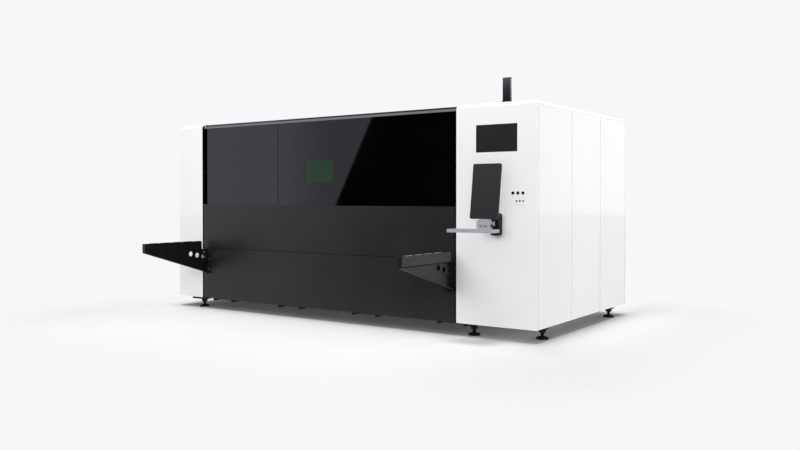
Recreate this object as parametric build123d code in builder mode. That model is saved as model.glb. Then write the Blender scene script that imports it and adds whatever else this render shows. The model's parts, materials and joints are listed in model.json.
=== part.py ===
from build123d import *
import os
from math import cos, radians, sin, sqrt

# Enclosed fiber laser cutting machine. Millimetres, +Z up, front towards -Y.
# The origin is on the floor, under the middle of the machine with its support arms.

# Whole machine
machine_length = 4456.0
machine_depth = 2168.0
floor_clearance = 112.0
front_height = 1900.0
roof_rise = 34.0
cabinet_width = 781.0
column_width = 382.0

# Sheet metal and gaps
sheet = 3.0
pan_depth = 25.0
seam = 4.0
running_gap = 0.3
weld_gap = 0.2

# Heights of the front's bands and the step back of the upper one
skirt_height = 556.0
door_height = 479.0
band_drop = 14.0
strip_rise = 24.0
strip_run = 20.0
lip_rise = 16.0
band_recess = 34.0

# Upper band: guides for the door, the panels and the window
guide_inset = 10.0
guide_width = 52.0
guide_drop = 235.0
guide_lip = 6.0
guide_slot = 14.0
guide_cavity = 30.0
guide_cavity_depth = 13.0
upper_left_width = 1054.0
window_width = 353.0
window_height = 222.0
window_offset = 389.0
window_sill = 233.0
window_glass = 6.0
window_lap = 12.0

# Runners on the back of the lift door
runner_height = 180.0
runner_drop = 25.0
runner_width = 36.0

# Bed frame of square tube
tube = 80.0
tube_wall = 5.0
left_tube_gap = 56.0
mid_tube_inset = 121.0
door_swing_gap = 9.0
bay_tube_shares = (0.34, 0.66)

# Cross channels under the bed
channel_count = 4
channel_inset = 304.0
channel_end_inset = 67.0
channel_width = 285.0
channel_height = 27.0
channel_wall = 6.0
channel_end_gap = 12.0

# Levelling feet
foot_pad_dia = 110.0
foot_pad_rim = 15.0
foot_pad_height = 24.0
foot_boss_dia = 56.0
foot_stud_dia = 24.0
foot_collar_dia = 64.0
foot_collar_height = 26.0
foot_plate = 80.0
foot_plate_thickness = 27.0
foot_bar_reach = 157.0
foot_bar_end = 62.0
left_foot_inset = 80.0
mid_foot_inset = 112.0
right_front_foot_inset = 270.0
right_rear_foot_inset = 298.0

# Side doors and their pivots
side_door_count = 3
side_seam = 7.0
door_end_gap = 1.0
pivot_inset = 12.5
pivot_dia = 10.0
pivot_length = 18.0
pivot_plate_thickness = 6.0
pivot_plate_width = 30.0

# Cabinet front: display, buttons and lamps
display_width = 399.0
display_height = 239.0
display_inset = 183.0
display_drop = 155.0
display_lap = 15.0
display_glass = 6.0
button_count = 3
button_pitch = 47.0
button_inset = 129.0
button_level = 1153.0
button_dia = 17.0
button_proud = 9.0
button_stem = 24.0
button_travel = 4.0
button_bottom_gap = 1.0
collar_dia = 27.0
collar_proud = 4.0
barrel_dia = 22.0
barrel_floor = 3.0
lamp_count = 3
lamp_pitch = 30.0
lamp_inset = 127.0
lamp_level = 1085.0
lamp_dia = 15.0
lamp_proud = 5.0
lamp_shank_dia = 11.0
lamp_depth = 12.0

# Tower light on the cabinet's roof
tower_width = 77.0
tower_depth = 29.0
tower_height = 203.0
tower_corner = 5.0
tower_base_height = 18.0
tower_base_margin = 5.0
tower_inset = 341.0
tower_setback = 120.0
tower_vent_dia = 6.0
tower_vent_depth = 2.0
tower_vent_pitch = 22.0
tower_vent_count = 3
tower_vent_level = 40.0

# Support arms
arm_reach = 826.0
arm_width = 40.0
arm_inset = 37.0
arm_height = 635.0
arm_plate = 6.0
arm_lip = 88.0
arm_tip_height = 95.0
arm_foot_height = 290.0
arm_cutback = 65.0
arm_base_thickness = 8.0
arm_base_margin = 10.0
arm_base_reach = 65.0
arm_shelf_depth = 40.0
arm_shelf_thickness = 12.0
arm_gusset_width = 40.0
arm_gusset_depth = 44.0
arm_gusset_drop = 142.0
arm_hole_dia = 52.0
arm_hole_count = 3
arm_hole_pitch = 90.0
arm_hole_fall = 19.0
arm_hole_inset = 38.0
arm_hole_drop = 173.0
pad_length = 110.0
pad_width = 12.0
pad_height = 4.0
pad_count = 4
pad_pitch = 150.0
pad_first = 126.0

# Work table
table_setback = 400.0
table_rear_gap = 208.0
table_beam_height = 70.0
table_wall = 4.0
cross_count = 4
cross_width = 40.0
cross_height = 40.0
comb_thickness = 6.0
comb_height = 28.0
slat_count = 24
slat_thickness = 6.0
slat_height = 34.0
slat_end_gap = 6.0
slat_notch = 18.0
tooth_count = 20
tooth_depth = 14.0

# Rails that carry the table inside the chamber
bed_beam_width = 50.0
bed_beam_height = 100.0
bed_beam_start = 40.0
rail_width = 20.0
rail_height = 18.0
rail_end_gap = 24.0
table_carriage_count = 2
table_carriage_length = 90.0
table_carriage_width = 44.0
table_carriage_skirt = 12.0
table_carriage_top = 35.0
table_carriage_inset = 70.0
table_carriage_pitch = 200.0
bed_pad_length = 60.0

# Slag tray
tray_margin = 140.0
slag_tray_height = 180.0
slag_tray_setback = 240.0

# Gantry
gantry_beam_rise = 332.7
gantry_tube = 120.0
gantry_wall = 8.0
gantry_rail_width = 24.0
gantry_rail_height = 20.0
gantry_rail_margin = 22.0
rack_width = 20.0
rack_gap = 2.0
gantry_park_gap = 26.0
gantry_end_width = 160.0
gantry_carriage_length = 68.0
gantry_carriage_width = 52.0
gantry_carriage_top = 30.0
gantry_carriage_skirt = 14.0
gantry_plate = 15.0
gantry_plate_back = 52.0
gantry_plate_margin = 7.0
bridge_width = 140.0
bridge_height = 180.0
bridge_end_back = 50.0
motor_width = 90.0
motor_height = 150.0
motor_gap = 3.0
motor_radius = 8.0
head_rail_height = 15.0
head_rail_width = 20.0
head_rail_pitch = 120.0
head_rail_overrun = 10.0

# Cutting head
head_front_gap = 430.0
head_rear_gap = 238.0
head_plate = 28.0
head_plate_gap = 5.0
head_plate_width = 150.0
head_plate_margin = 6.0
slide_depth = 50.0
slide_width = 90.0
slide_height = 260.0
slide_drop = 30.0
slide_radius = 6.0
optic_dia = 56.0
optic_height = 230.0
collimator_dia = 34.0
collimator_height = 100.0
ceramic_dia = 30.0
nozzle_height = 34.0
nozzle_tip_dia = 8.0

# Backs of the chamber and the cabinet
rear_panel_count = 3
vent_rows = 12
vent_columns = 2
vent_pitch = 40.0
vent_length = 240.0
vent_width = 10.0
vent_spacing = 320.0
vent_sill = 260.0

# Cabinet equipment
deck_thickness = 6.0
deck_margin = 2.0
source_height = 320.0
control_height = 1200.0
control_step = 60.0
control_share = 0.46
equipment_inset = 130.0
equipment_end_gap = 57.0
equipment_gap = 200.0
equipment_edge = 10.0
fin_count = 8
fin_depth = 8.0
fin_share = 0.5

# Console bracket and swivel
bracket_width = 79.0
bracket_height = 190.0
bracket_depth = 70.0
bracket_inset = 325.0
bracket_sill = 790.0
bracket_corner = 20.0
bracket_edge = 8.0
swivel_gap = 7.0
swivel_lug_radius = 18.0
swivel_lug_thickness = 14.0
swivel_rise = 72.0
swivel_barrel_height = 34.0
swivel_pin_dia = 16.0
boss_dia = 28.0
boss_height = 8.0
boss_drop = 30.0

# Console neck, tray and tablet
neck_width = 129.0
neck_offset = 52.0
neck_gap = 17.0
neck_depth = 40.0
neck_drop = 15.0
neck_height = 50.0
apron_height = 18.0
apron_thickness = 6.0
neck_lug_width = 20.0
neck_lug_radius = 12.0
socket_width = 22.0
socket_height = 14.0
socket_depth = 5.0
tilt_pin_dia = 12.0
tilt_pin_rise = 15.0
tray_width = 429.0
tray_offset = 121.0
tray_depth = 151.0
tray_lap = 21.0
tray_thickness = 28.0
tray_edge = 6.0
tray_dish = 8.0
tray_rim = 12.0
tablet_width = 270.0
tablet_height = 475.0
tablet_thickness = 14.0
tablet_corner = 14.0
tablet_offset = 51.5
tablet_foot_offset = 15.0
tablet_gap = 36.0
tablet_lean = 8.0
tablet_bezel = 8.0
tablet_recess = 2.0
tongue_radius = 11.0

# Places worked out from the sizes
left = -machine_length / 2
right = machine_length / 2
front = (arm_reach - machine_depth) / 2
back = front + machine_depth
base = floor_clearance
eaves = base + front_height
crown = eaves + roof_rise
bay_left = left + column_width
bay_right = right - cabinet_width
bay_mid = (bay_left + bay_right) / 2
bay_width = bay_right - bay_left
skirt_top = base + skirt_height
band_bottom = skirt_top + door_height
band_top = eaves - band_drop
strip_top = band_top + strip_rise
lip_top = strip_top + lip_rise
band_front = front + band_recess
band_back = band_front + pan_depth
bed_top = base + tube
front_tube = front + pan_depth + tube / 2
rear_tube = back - pan_depth - tube / 2
left_tube = bay_left - left_tube_gap
mid_tube = bay_right + mid_tube_inset
right_tube = right - pan_depth - door_swing_gap - tube / 2
arm_top = base + arm_height
pad_top = arm_top + pad_height
table_bottom = pad_top + running_gap
table_front = front + table_setback
table_back = back - table_rear_gap
table_lines = (bay_left + arm_inset, bay_right - arm_inset)
cross_top = table_bottom + cross_height
slat_bottom = cross_top + comb_height - slat_notch
slat_top = slat_bottom + slat_height
carriage_groove = table_bottom - table_carriage_top
bed_rail_top = carriage_groove - running_gap
bed_beam_top = bed_rail_top - rail_height
gantry_beam_bottom = slat_top + gantry_beam_rise
gantry_beam_top = gantry_beam_bottom + gantry_tube
gantry_rail_top = gantry_beam_top + gantry_rail_height
gantry_groove = gantry_rail_top + running_gap
gantry_plate_bottom = gantry_groove + gantry_carriage_top
bridge_bottom = gantry_plate_bottom + gantry_plate
bridge_top = bridge_bottom + bridge_height
rail_lines = (band_back + gantry_tube / 2, back - pan_depth - gantry_tube / 2)
gantry_mid = bay_right - gantry_park_gap - gantry_end_width / 2
bridge_face = gantry_mid - bridge_width / 2
head_rail_mid = (bridge_bottom + bridge_top) / 2
head_mid = back - head_rear_gap
head_travel = head_mid - front - head_front_gap
head_plate_inner = bridge_face - head_plate_gap
head_plate_outer = head_plate_inner - head_plate
slide_inner = head_plate_outer - running_gap
slide_mid = slide_inner - slide_depth / 2
slide_bottom = bridge_bottom - slide_drop
barrel_depth = button_stem + button_travel + button_bottom_gap + barrel_floor
swivel_x = right - bracket_inset - bracket_width / 2
swivel_y = front - bracket_depth - swivel_gap - swivel_lug_radius
tilt_y = swivel_y - swivel_lug_radius - neck_gap - neck_depth / 2


def around(middle, size):
    """The two ends of a stretch of this size about its middle."""
    return middle - size / 2, middle + size / 2


def block(x, y, z, mode=Mode.ADD):
    """A box that runs from one plane to another on each axis."""
    with Locations((sum(x) / 2, sum(y) / 2, sum(z) / 2)):
        Box(x[1] - x[0], y[1] - y[0], z[1] - z[0], mode=mode)


def hollow_bar(x, y, z, wall, along):
    """A straight length of box section, open at its two ends."""
    spans = (x, y, z)
    block(*spans)
    core = [span if axis == along else (span[0] + wall, span[1] - wall) for axis, span in enumerate(spans)]
    block(*core, mode=Mode.SUBTRACT)


def front_pan(x, y, z):
    """A folded panel whose skin faces the front, with four returns behind it."""
    block(x, y, z)
    block((x[0] + sheet, x[1] - sheet), (y[0] + sheet, y[1]), (z[0] + sheet, z[1] - sheet), mode=Mode.SUBTRACT)


def rear_pan(x, y, z):
    """A folded panel whose skin faces the back."""
    block(x, y, z)
    block((x[0] + sheet, x[1] - sheet), (y[0], y[1] - sheet), (z[0] + sheet, z[1] - sheet), mode=Mode.SUBTRACT)


def side_pan(x, y, z):
    """A folded panel whose skin faces the right."""
    block(x, y, z)
    block((x[0], x[1] - sheet), (y[0] + sheet, y[1] - sheet), (z[0] + sheet, z[1] - sheet), mode=Mode.SUBTRACT)


def save(builder, name):
    """Labels a finished piece and writes it under its own name."""
    builder.part.label = name
    export_step(builder.part, f"parts/{name}.step")


os.makedirs("parts", exist_ok=True)

# Bed frame: two long tubes, cross tubes between them, and posts that carry the beams and the roof
with BuildPart() as bed_frame:
    front_tube_y = around(front_tube, tube)
    rear_tube_y = around(rear_tube, tube)
    bed_z = (base, bed_top)
    between = (front_tube_y[1] + weld_gap, rear_tube_y[0] - weld_gap)
    for tube_y in (front_tube_y, rear_tube_y):
        hollow_bar((left + sheet, right_tube + tube / 2), tube_y, bed_z, tube_wall, 0)
    bay_tubes = [bay_left + bay_width * share for share in bay_tube_shares]
    for tube_x in (left_tube, *bay_tubes, mid_tube, right_tube):
        hollow_bar(around(tube_x, tube), between, bed_z, tube_wall, 1)
    for tube_y in (front_tube_y, rear_tube_y):
        for tube_x in (left_tube, mid_tube):
            post_z = (bed_top + weld_gap, gantry_beam_bottom - weld_gap)
            hollow_bar(around(tube_x, tube), tube_y, post_z, tube_wall, 2)
        hollow_bar(around(right_tube, tube), tube_y, (bed_top + weld_gap, eaves), tube_wall, 2)
        for line in table_lines:
            post_z = (bed_top + weld_gap, bed_beam_top - bed_beam_height - weld_gap)
            hollow_bar(around(line, bed_beam_width), tube_y, post_z, tube_wall, 2)
save(bed_frame, "bed_frame")

# Cross channels: inverted folded channels that stiffen the bed from below
with BuildPart() as cross_channels:
    channel_y = (front + channel_end_gap, back - channel_end_gap)
    channel_pitch = (bay_width - channel_inset - channel_end_inset) / (channel_count - 1)
    for index in range(channel_count):
        channel_x = around(bay_left + channel_inset + index * channel_pitch, channel_width)
        block(channel_x, channel_y, (base - channel_height, base))
        inner_x = (channel_x[0] + channel_wall, channel_x[1] - channel_wall)
        block(inner_x, channel_y, (base - channel_height, base - channel_wall), mode=Mode.SUBTRACT)
save(cross_channels, "cross_channels")

# Levelling feet under the ends of the cross tubes
foot_places = (
    (left_tube, front + left_foot_inset),
    (left_tube, back - left_foot_inset),
    (mid_tube, front + mid_foot_inset),
    (mid_tube, back - mid_foot_inset),
    (right_tube, front + right_front_foot_inset),
    (right_tube, back - right_rear_foot_inset),
)
standing = (Align.CENTER, Align.CENTER, Align.MIN)
foot_plate_bottom = base - foot_plate_thickness

with BuildPart() as levelling_feet:
    with Locations(*foot_places):
        Cylinder(foot_pad_dia / 2, foot_pad_rim, align=standing)
    with Locations(*[(x, y, foot_pad_rim) for x, y in foot_places]):
        Cone(foot_pad_dia / 2, foot_boss_dia / 2, foot_pad_height - foot_pad_rim, align=standing)
    with Locations(*[(x, y, foot_pad_height) for x, y in foot_places]):
        Cylinder(foot_stud_dia / 2, foot_plate_bottom - foot_pad_height, align=standing)
save(levelling_feet, "levelling_feet")

# Foot sockets: a plate or bar under the tube with a collar that the stud screws into
with BuildPart() as foot_sockets:
    collar_bottom = foot_plate_bottom - foot_collar_height
    for x, y in foot_places:
        bar_x = (x - foot_bar_reach, x + foot_bar_end) if x == left_tube else around(x, foot_plate)
        block(bar_x, around(y, foot_plate), (foot_plate_bottom, base))
    with Locations(*[(x, y, collar_bottom) for x, y in foot_places]):
        Cylinder(foot_collar_dia / 2, foot_collar_height, align=standing)
        Cylinder(foot_stud_dia / 2 + running_gap, foot_collar_height, align=standing, mode=Mode.SUBTRACT)
save(foot_sockets, "foot_sockets")

# Left column: one folded cover, open below and towards the chamber, with a chamfered top
with BuildPart() as left_column_cover:
    block((left, bay_left), (front, back), (base, crown))
    top_edges = left_column_cover.faces().sort_by(Axis.Z)[-1].edges()
    outer_edges = top_edges.sort_by(Axis.X)[:-1]
    chamfer(outer_edges, length=roof_rise)
    hollow_z = (base, eaves - sheet)
    block((left + sheet, bay_left - sheet), (front + sheet, back - sheet), hollow_z, mode=Mode.SUBTRACT)
    inner_side = (bay_left - sheet, bay_left)
    block(inner_side, (band_back, back - sheet), (base, band_top), mode=Mode.SUBTRACT)
    block(inner_side, (front + pan_depth, band_back), (base, bed_top), mode=Mode.SUBTRACT)
save(left_column_cover, "left_column_cover")

# Chamber walls: flat sheets between the chamber and the two ends, notched for the rail beams
with BuildPart() as chamber_walls:
    wall_back = back - pan_depth - weld_gap
    wall_z = (bed_top + weld_gap, band_top - weld_gap)
    left_wall = ((bay_left - sheet, bay_left), band_back + weld_gap)
    right_wall = ((bay_right, bay_right + sheet), front + pan_depth + weld_gap)
    for wall_x, wall_front in (left_wall, right_wall):
        block(wall_x, (wall_front, wall_back), wall_z)
        for line in rail_lines:
            notch_y = around(line, gantry_tube + weld_gap * 2)
            notch_z = (gantry_beam_bottom - weld_gap, gantry_beam_top + weld_gap)
            block(wall_x, notch_y, notch_z, mode=Mode.SUBTRACT)
save(chamber_walls, "chamber_walls")

# Cabinet front: one folded panel with the openings for display, buttons and lamps
cabinet_x = (bay_right, right)
display_x = (right - display_inset - display_width, right - display_inset)
display_z = (eaves - display_drop - display_height, eaves - display_drop)
button_places = [right - button_inset - index * button_pitch for index in range(button_count)]
button_z = base + button_level
lamp_places = [right - lamp_inset - index * lamp_pitch for index in range(lamp_count)]
lamp_z = base + lamp_level
facing_front = Plane.XZ.offset(-front)
with BuildPart() as cabinet_front_panel:
    front_pan(cabinet_x, (front, front + pan_depth), (base, eaves))
    block(display_x, (front, front + sheet), display_z, mode=Mode.SUBTRACT)
    with BuildSketch(facing_front):
        with Locations(*[(x, button_z) for x in button_places]):
            Circle(barrel_dia / 2)
        with Locations(*[(x, lamp_z) for x in lamp_places]):
            Circle(lamp_shank_dia / 2 + running_gap)
    extrude(amount=-sheet, mode=Mode.SUBTRACT)
save(cabinet_front_panel, "cabinet_front_panel")

with BuildPart() as display_screen:
    seat_x = (display_x[0] - display_lap, display_x[1] + display_lap)
    seat_z = (display_z[0] - display_lap, display_z[1] + display_lap)
    block(seat_x, (front + sheet, front + sheet + display_glass), seat_z)
save(display_screen, "display_screen")

# Button collars: a flange on the panel and a blind barrel behind it that guides the button
with BuildPart() as button_collars:
    with BuildSketch(facing_front):
        with Locations(*[(x, button_z) for x in button_places]):
            Circle(collar_dia / 2)
    extrude(amount=collar_proud)
    with BuildSketch(facing_front):
        with Locations(*[(x, button_z) for x in button_places]):
            Circle(barrel_dia / 2 - running_gap)
    extrude(amount=-barrel_depth)
    with BuildSketch(facing_front.offset(collar_proud)):
        with Locations(*[(x, button_z) for x in button_places]):
            Circle(button_dia / 2 + running_gap)
    extrude(amount=-(collar_proud + barrel_depth - barrel_floor), mode=Mode.SUBTRACT)
save(button_collars, "button_collars")

for name, x in zip(("push_button_right", "push_button_middle", "push_button_left"), button_places):
    with BuildPart() as push_button:
        with BuildSketch(facing_front.offset(-button_stem)):
            with Locations((x, button_z)):
                Circle(button_dia / 2)
        extrude(amount=button_stem + button_proud)
        chamfer(push_button.faces().sort_by(Axis.Y)[0].edges(), length=collar_proud / 4)
    save(push_button, name)

with BuildPart() as indicator_lamps:
    with BuildSketch(facing_front):
        with Locations(*[(x, lamp_z) for x in lamp_places]):
            Circle(lamp_dia / 2)
    extrude(amount=lamp_proud)
    lamp_faces = indicator_lamps.faces().filter_by(Axis.Y).sort_by(Axis.Y)[:lamp_count]
    chamfer(lamp_faces.edges(), length=lamp_proud / 3)
    with BuildSketch(facing_front):
        with Locations(*[(x, lamp_z) for x in lamp_places]):
            Circle(lamp_shank_dia / 2)
    extrude(amount=-lamp_depth)
save(indicator_lamps, "indicator_lamps")

# Cabinet roof: a shallow cap with chamfered edges and a hollow underside
with BuildPart() as cabinet_roof:
    block(cabinet_x, (front, back), (eaves, crown))
    top_edges = cabinet_roof.faces().sort_by(Axis.Z)[-1].edges()
    chamfer(top_edges.sort_by(Axis.X)[1:], length=roof_rise - sheet)
    hollow_x = (bay_right + roof_rise + sheet, right - roof_rise - sheet)
    hollow_y = (front + roof_rise + sheet, back - roof_rise - sheet)
    block(hollow_x, hollow_y, (eaves, crown - sheet), mode=Mode.SUBTRACT)
save(cabinet_roof, "cabinet_roof")

with BuildPart() as cabinet_rear_panel:
    rear_pan(cabinet_x, (back - pan_depth, back), (base, eaves))
    vent_mid = (sum(cabinet_x) / 2, base + vent_sill + vent_pitch * (vent_rows - 1) / 2)
    with BuildSketch(Plane.XZ.offset(-back)):
        with Locations(vent_mid):
            with GridLocations(vent_spacing, vent_pitch, vent_columns, vent_rows):
                SlotOverall(vent_length, vent_width)
    extrude(amount=sheet, mode=Mode.SUBTRACT)
save(cabinet_rear_panel, "cabinet_rear_panel")

# Side doors: folded panels on pivot pins near their front edges
side_run = (front + pan_depth + side_seam, back - pan_depth - side_seam)
side_width = (side_run[1] - side_run[0] - side_seam * (side_door_count - 1)) / side_door_count
side_starts = [side_run[0] + index * (side_width + side_seam) for index in range(side_door_count)]
pivot_x = right - pivot_inset
side_door_z = (base + door_end_gap, eaves - door_end_gap)
for name, start in zip(("side_door_front", "side_door_middle", "side_door_rear"), side_starts):
    with BuildPart() as side_door:
        side_pan((right - pan_depth, right), (start, start + side_width), side_door_z)
        with BuildSketch(Plane.XY.offset(side_door_z[0])):
            with Locations((pivot_x, start + pivot_inset)):
                Circle(pivot_dia / 2 + running_gap)
        extrude(amount=side_door_z[1] - side_door_z[0], mode=Mode.SUBTRACT)
    save(side_door, name)

with BuildPart() as door_pivots:
    for start in side_starts:
        pivot_y = start + pivot_inset
        plate_x = (right_tube, right - sheet)
        block(plate_x, around(pivot_y, pivot_plate_width), (base - pivot_plate_thickness, base))
        with Locations((pivot_x, pivot_y, base), (pivot_x, pivot_y, eaves - pivot_length)):
            Cylinder(pivot_dia / 2, pivot_length, align=standing)
save(door_pivots, "door_pivots")

# Black front: the fixed skirt below and the two recessed panels above
panel_x = (bay_left + seam, bay_right - seam)
with BuildPart() as front_skirt:
    front_pan(panel_x, (front, front + pan_depth), (base, skirt_top))
save(front_skirt, "front_skirt")

band_x = (bay_left + guide_inset + guide_width, bay_right - guide_inset - guide_width)
split_x = band_x[0] + upper_left_width
band_y = (band_front, band_back)
band_z = (band_bottom, band_top)
with BuildPart() as upper_left_panel:
    front_pan((band_x[0], split_x - seam / 2), band_y, band_z)
save(upper_left_panel, "upper_left_panel")

window_x = (split_x + window_offset, split_x + window_offset + window_width)
window_z = (band_bottom + window_sill, band_bottom + window_sill + window_height)
with BuildPart() as upper_right_panel:
    front_pan((split_x + seam / 2, band_x[1]), band_y, band_z)
    block(window_x, (band_front, band_front + sheet), window_z, mode=Mode.SUBTRACT)
save(upper_right_panel, "upper_right_panel")

with BuildPart() as viewing_window:
    lap_x = (window_x[0] - window_lap, window_x[1] + window_lap)
    lap_z = (window_z[0] - window_lap, window_z[1] + window_lap)
    block(lap_x, (band_front + sheet, band_front + sheet + window_glass), lap_z)
    block(window_x, (band_front, band_front + sheet), window_z)
save(viewing_window, "viewing_window")

# Door guides: slotted uprights at the two ends of the upper band
guide_lines = (bay_left + guide_inset + guide_width / 2, bay_right - guide_inset - guide_width / 2)
guide_z = (band_bottom - guide_drop, band_top)
cavity_y = (band_front + guide_lip, band_front + guide_lip + guide_cavity_depth)
with BuildPart() as door_guides:
    for line in guide_lines:
        block(around(line, guide_width), band_y, guide_z)
        block(around(line, guide_slot), (band_front, cavity_y[1]), guide_z, mode=Mode.SUBTRACT)
        block(around(line, guide_cavity), cavity_y, guide_z, mode=Mode.SUBTRACT)
save(door_guides, "door_guides")

# Lift door: a folded panel that rises in front of the upper band on two T-shaped runners
lift_door_z = (skirt_top + seam, band_bottom)
with BuildPart() as lift_door:
    front_pan(panel_x, (front, front + pan_depth), lift_door_z)
save(lift_door, "lift_door")

with BuildPart() as door_runners:
    runner_z = (band_bottom - runner_drop - runner_height, band_bottom - runner_drop)
    for line in guide_lines:
        block(around(line, runner_width), (front + sheet, front + pan_depth), runner_z)
        stem = guide_slot - running_gap * 2
        head_y = (cavity_y[0] + running_gap, cavity_y[1] - running_gap)
        block(around(line, stem), (front + pan_depth, head_y[1]), runner_z)
        block(around(line, guide_cavity - running_gap * 2), head_y, runner_z)
save(door_runners, "door_runners")

# Chamfer strip over the upper band, folded from one sheet
with BuildPart() as top_trim:
    slant = sheet * sqrt(strip_rise**2 + strip_run**2) / strip_rise
    with BuildSketch(Plane.YZ.offset(bay_left)):
        with BuildLine():
            Polyline(
                (band_front, band_top),
                (band_front + strip_run, strip_top),
                (band_front + strip_run, strip_top - slant * strip_rise / strip_run),
                (band_front + slant + sheet * strip_run / strip_rise, band_top + sheet),
                (band_front + strip_run, band_top + sheet),
                (band_front + strip_run, band_top),
                close=True,
            )
        make_face()
    extrude(amount=bay_width)
save(top_trim, "top_trim")

# Chamber roof: a folded lid between the cabinet and the column
with BuildPart() as chamber_roof:
    lid_x = (bay_left, bay_right)
    lid_y = (band_front + strip_run, back)
    block(lid_x, lid_y, (band_top, lip_top))
    hollow_y = (lid_y[0] + sheet, lid_y[1] - sheet)
    block((lid_x[0] + sheet, lid_x[1] - sheet), hollow_y, (band_top, lip_top - sheet), mode=Mode.SUBTRACT)
save(chamber_roof, "chamber_roof")

# Chamber back: three equal folded panels
rear_width = (panel_x[1] - panel_x[0] - seam * (rear_panel_count - 1)) / rear_panel_count
with BuildPart() as chamber_rear_panels:
    for index in range(rear_panel_count):
        start = panel_x[0] + index * (rear_width + seam)
        rear_pan((start, start + rear_width), (back - pan_depth, back), (base, band_top))
save(chamber_rear_panels, "chamber_rear_panels")

# Support arms: a web with holes, a flange on top with a lip outside, a lower flange and a base plate
arm_outer = table_lines[0] - arm_width / 2
arm_inner = table_lines[0] + arm_width / 2
arm_tip = front - arm_reach
arm_cut = front - arm_cutback
arm_root = front - arm_base_thickness
arm_foot = base + arm_foot_height
arm_tip_bottom = arm_top - arm_tip_height
arm_lip_bottom = arm_top - arm_lip
arm_base_z = (arm_foot - arm_base_margin, arm_lip_bottom)
hole_places = [
    (
        front - arm_hole_inset - index * arm_hole_pitch,
        arm_top - arm_hole_drop + index * arm_hole_fall,
    )
    for index in range(arm_hole_count)
]
with BuildPart() as support_arm_left:
    with BuildSketch(Plane.YZ.offset(arm_inner - arm_plate)):
        with BuildLine():
            Polyline(
                (arm_tip, arm_top),
                (arm_cut, arm_top),
                (arm_cut, arm_lip_bottom),
                (arm_root, arm_lip_bottom),
                (arm_root, arm_foot),
                (arm_tip, arm_tip_bottom),
                close=True,
            )
        make_face()
        with Locations(*hole_places):
            Circle(arm_hole_dia / 2, mode=Mode.SUBTRACT)
    extrude(amount=arm_plate)
    block((arm_outer, arm_inner), (arm_tip, arm_cut), (arm_top - arm_plate, arm_top))
    block((arm_outer, arm_outer + arm_plate), (arm_tip, arm_cut), (arm_lip_bottom, arm_top))
    block((arm_outer, arm_inner), (arm_tip, arm_tip + arm_plate), (arm_tip_bottom, arm_top))
    with BuildSketch(Plane.YZ.offset(arm_outer)):
        with BuildLine():
            Polyline(
                (arm_tip, arm_tip_bottom),
                (arm_root, arm_foot),
                (arm_root, arm_foot + arm_plate),
                (arm_tip, arm_tip_bottom + arm_plate),
                close=True,
            )
        make_face()
    extrude(amount=arm_width)
    block((arm_outer, arm_inner + arm_base_reach), (arm_root, front), arm_base_z)
    shelf_z = (arm_base_z[0], arm_base_z[0] + arm_shelf_thickness)
    block((arm_inner, arm_inner + arm_base_reach), (arm_root - arm_shelf_depth, arm_root), shelf_z)
    gusset_y = (arm_root - arm_gusset_depth, arm_root)
    gusset_z = (arm_lip_bottom - arm_gusset_drop, arm_lip_bottom)
    block((arm_inner, arm_inner + arm_gusset_width), gusset_y, gusset_z)
save(support_arm_left, "support_arm_left")

with BuildPart() as support_arm_right:
    mirror(support_arm_left.part, about=Plane.YZ.offset(bay_mid))
save(support_arm_right, "support_arm_right")

# Slide pads: low ones along the top flange of each arm, a tall one at the front of each table beam
with BuildPart() as slide_pads:
    for line in table_lines:
        for index in range(pad_count):
            pad_y = around(arm_tip + pad_first + index * pad_pitch, pad_length)
            block(around(line, pad_width), pad_y, (arm_top, pad_top))
        pad_y = (front + bed_beam_start, front + bed_beam_start + bed_pad_length)
        block(around(line, pad_width), pad_y, (bed_beam_top, pad_top))
    fillet(slide_pads.edges().filter_by(Axis.Z), radius=pad_width / 3)
save(slide_pads, "slide_pads")

# Table beams inside the chamber with their linear rails
with BuildPart() as table_beams:
    for line in table_lines:
        beam_y = (front + bed_beam_start, back - pan_depth - weld_gap)
        beam_z = (bed_beam_top - bed_beam_height, bed_beam_top)
        hollow_bar(around(line, bed_beam_width), beam_y, beam_z, tube_wall, 1)
save(table_beams, "table_beams")

with BuildPart() as table_rails:
    for line in table_lines:
        rail_start = front + bed_beam_start + bed_pad_length + rail_end_gap
        rail_y = (rail_start, back - pan_depth - rail_end_gap)
        block(around(line, rail_width), rail_y, (bed_beam_top, bed_rail_top))
save(table_rails, "table_rails")

# Work table: a frame of side beams and cross beams, notched combs on the cross beams, and toothed slats
inside_x = (table_lines[0] + arm_width / 2 + weld_gap, table_lines[1] - arm_width / 2 - weld_gap)
cross_step = (table_back - table_front - cross_width) / (cross_count - 1)
cross_lines = [table_front + cross_width / 2 + index * cross_step for index in range(cross_count)]
slat_step = (inside_x[1] - inside_x[0]) / slat_count
slat_lines = [inside_x[0] + (index + 1 / 2) * slat_step for index in range(slat_count)]
with BuildPart() as table_frame:
    for line in table_lines:
        beam_z = (table_bottom, table_bottom + table_beam_height)
        hollow_bar(around(line, arm_width), (table_front, table_back), beam_z, table_wall, 1)
    for line in cross_lines:
        hollow_bar(inside_x, around(line, cross_width), (table_bottom, cross_top), table_wall, 0)
save(table_frame, "table_frame")

with BuildPart() as slat_combs:
    comb_top = cross_top + comb_height
    crest = [(inside_x[0], comb_top)]
    for slat in slat_lines:
        notch_left, notch_right = around(slat, slat_thickness + running_gap * 2)
        crest += [(notch_left, comb_top), (notch_left, slat_bottom)]
        crest += [(notch_right, slat_bottom), (notch_right, comb_top)]
    crest += [(inside_x[1], comb_top), (inside_x[1], cross_top), (inside_x[0], cross_top)]
    comb_planes = [Plane.XZ.offset(-line - comb_thickness / 2) for line in cross_lines]
    with BuildSketch(*comb_planes):
        with BuildLine():
            Polyline(*crest, close=True)
        make_face()
    extrude(amount=comb_thickness)
save(slat_combs, "slat_combs")

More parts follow.
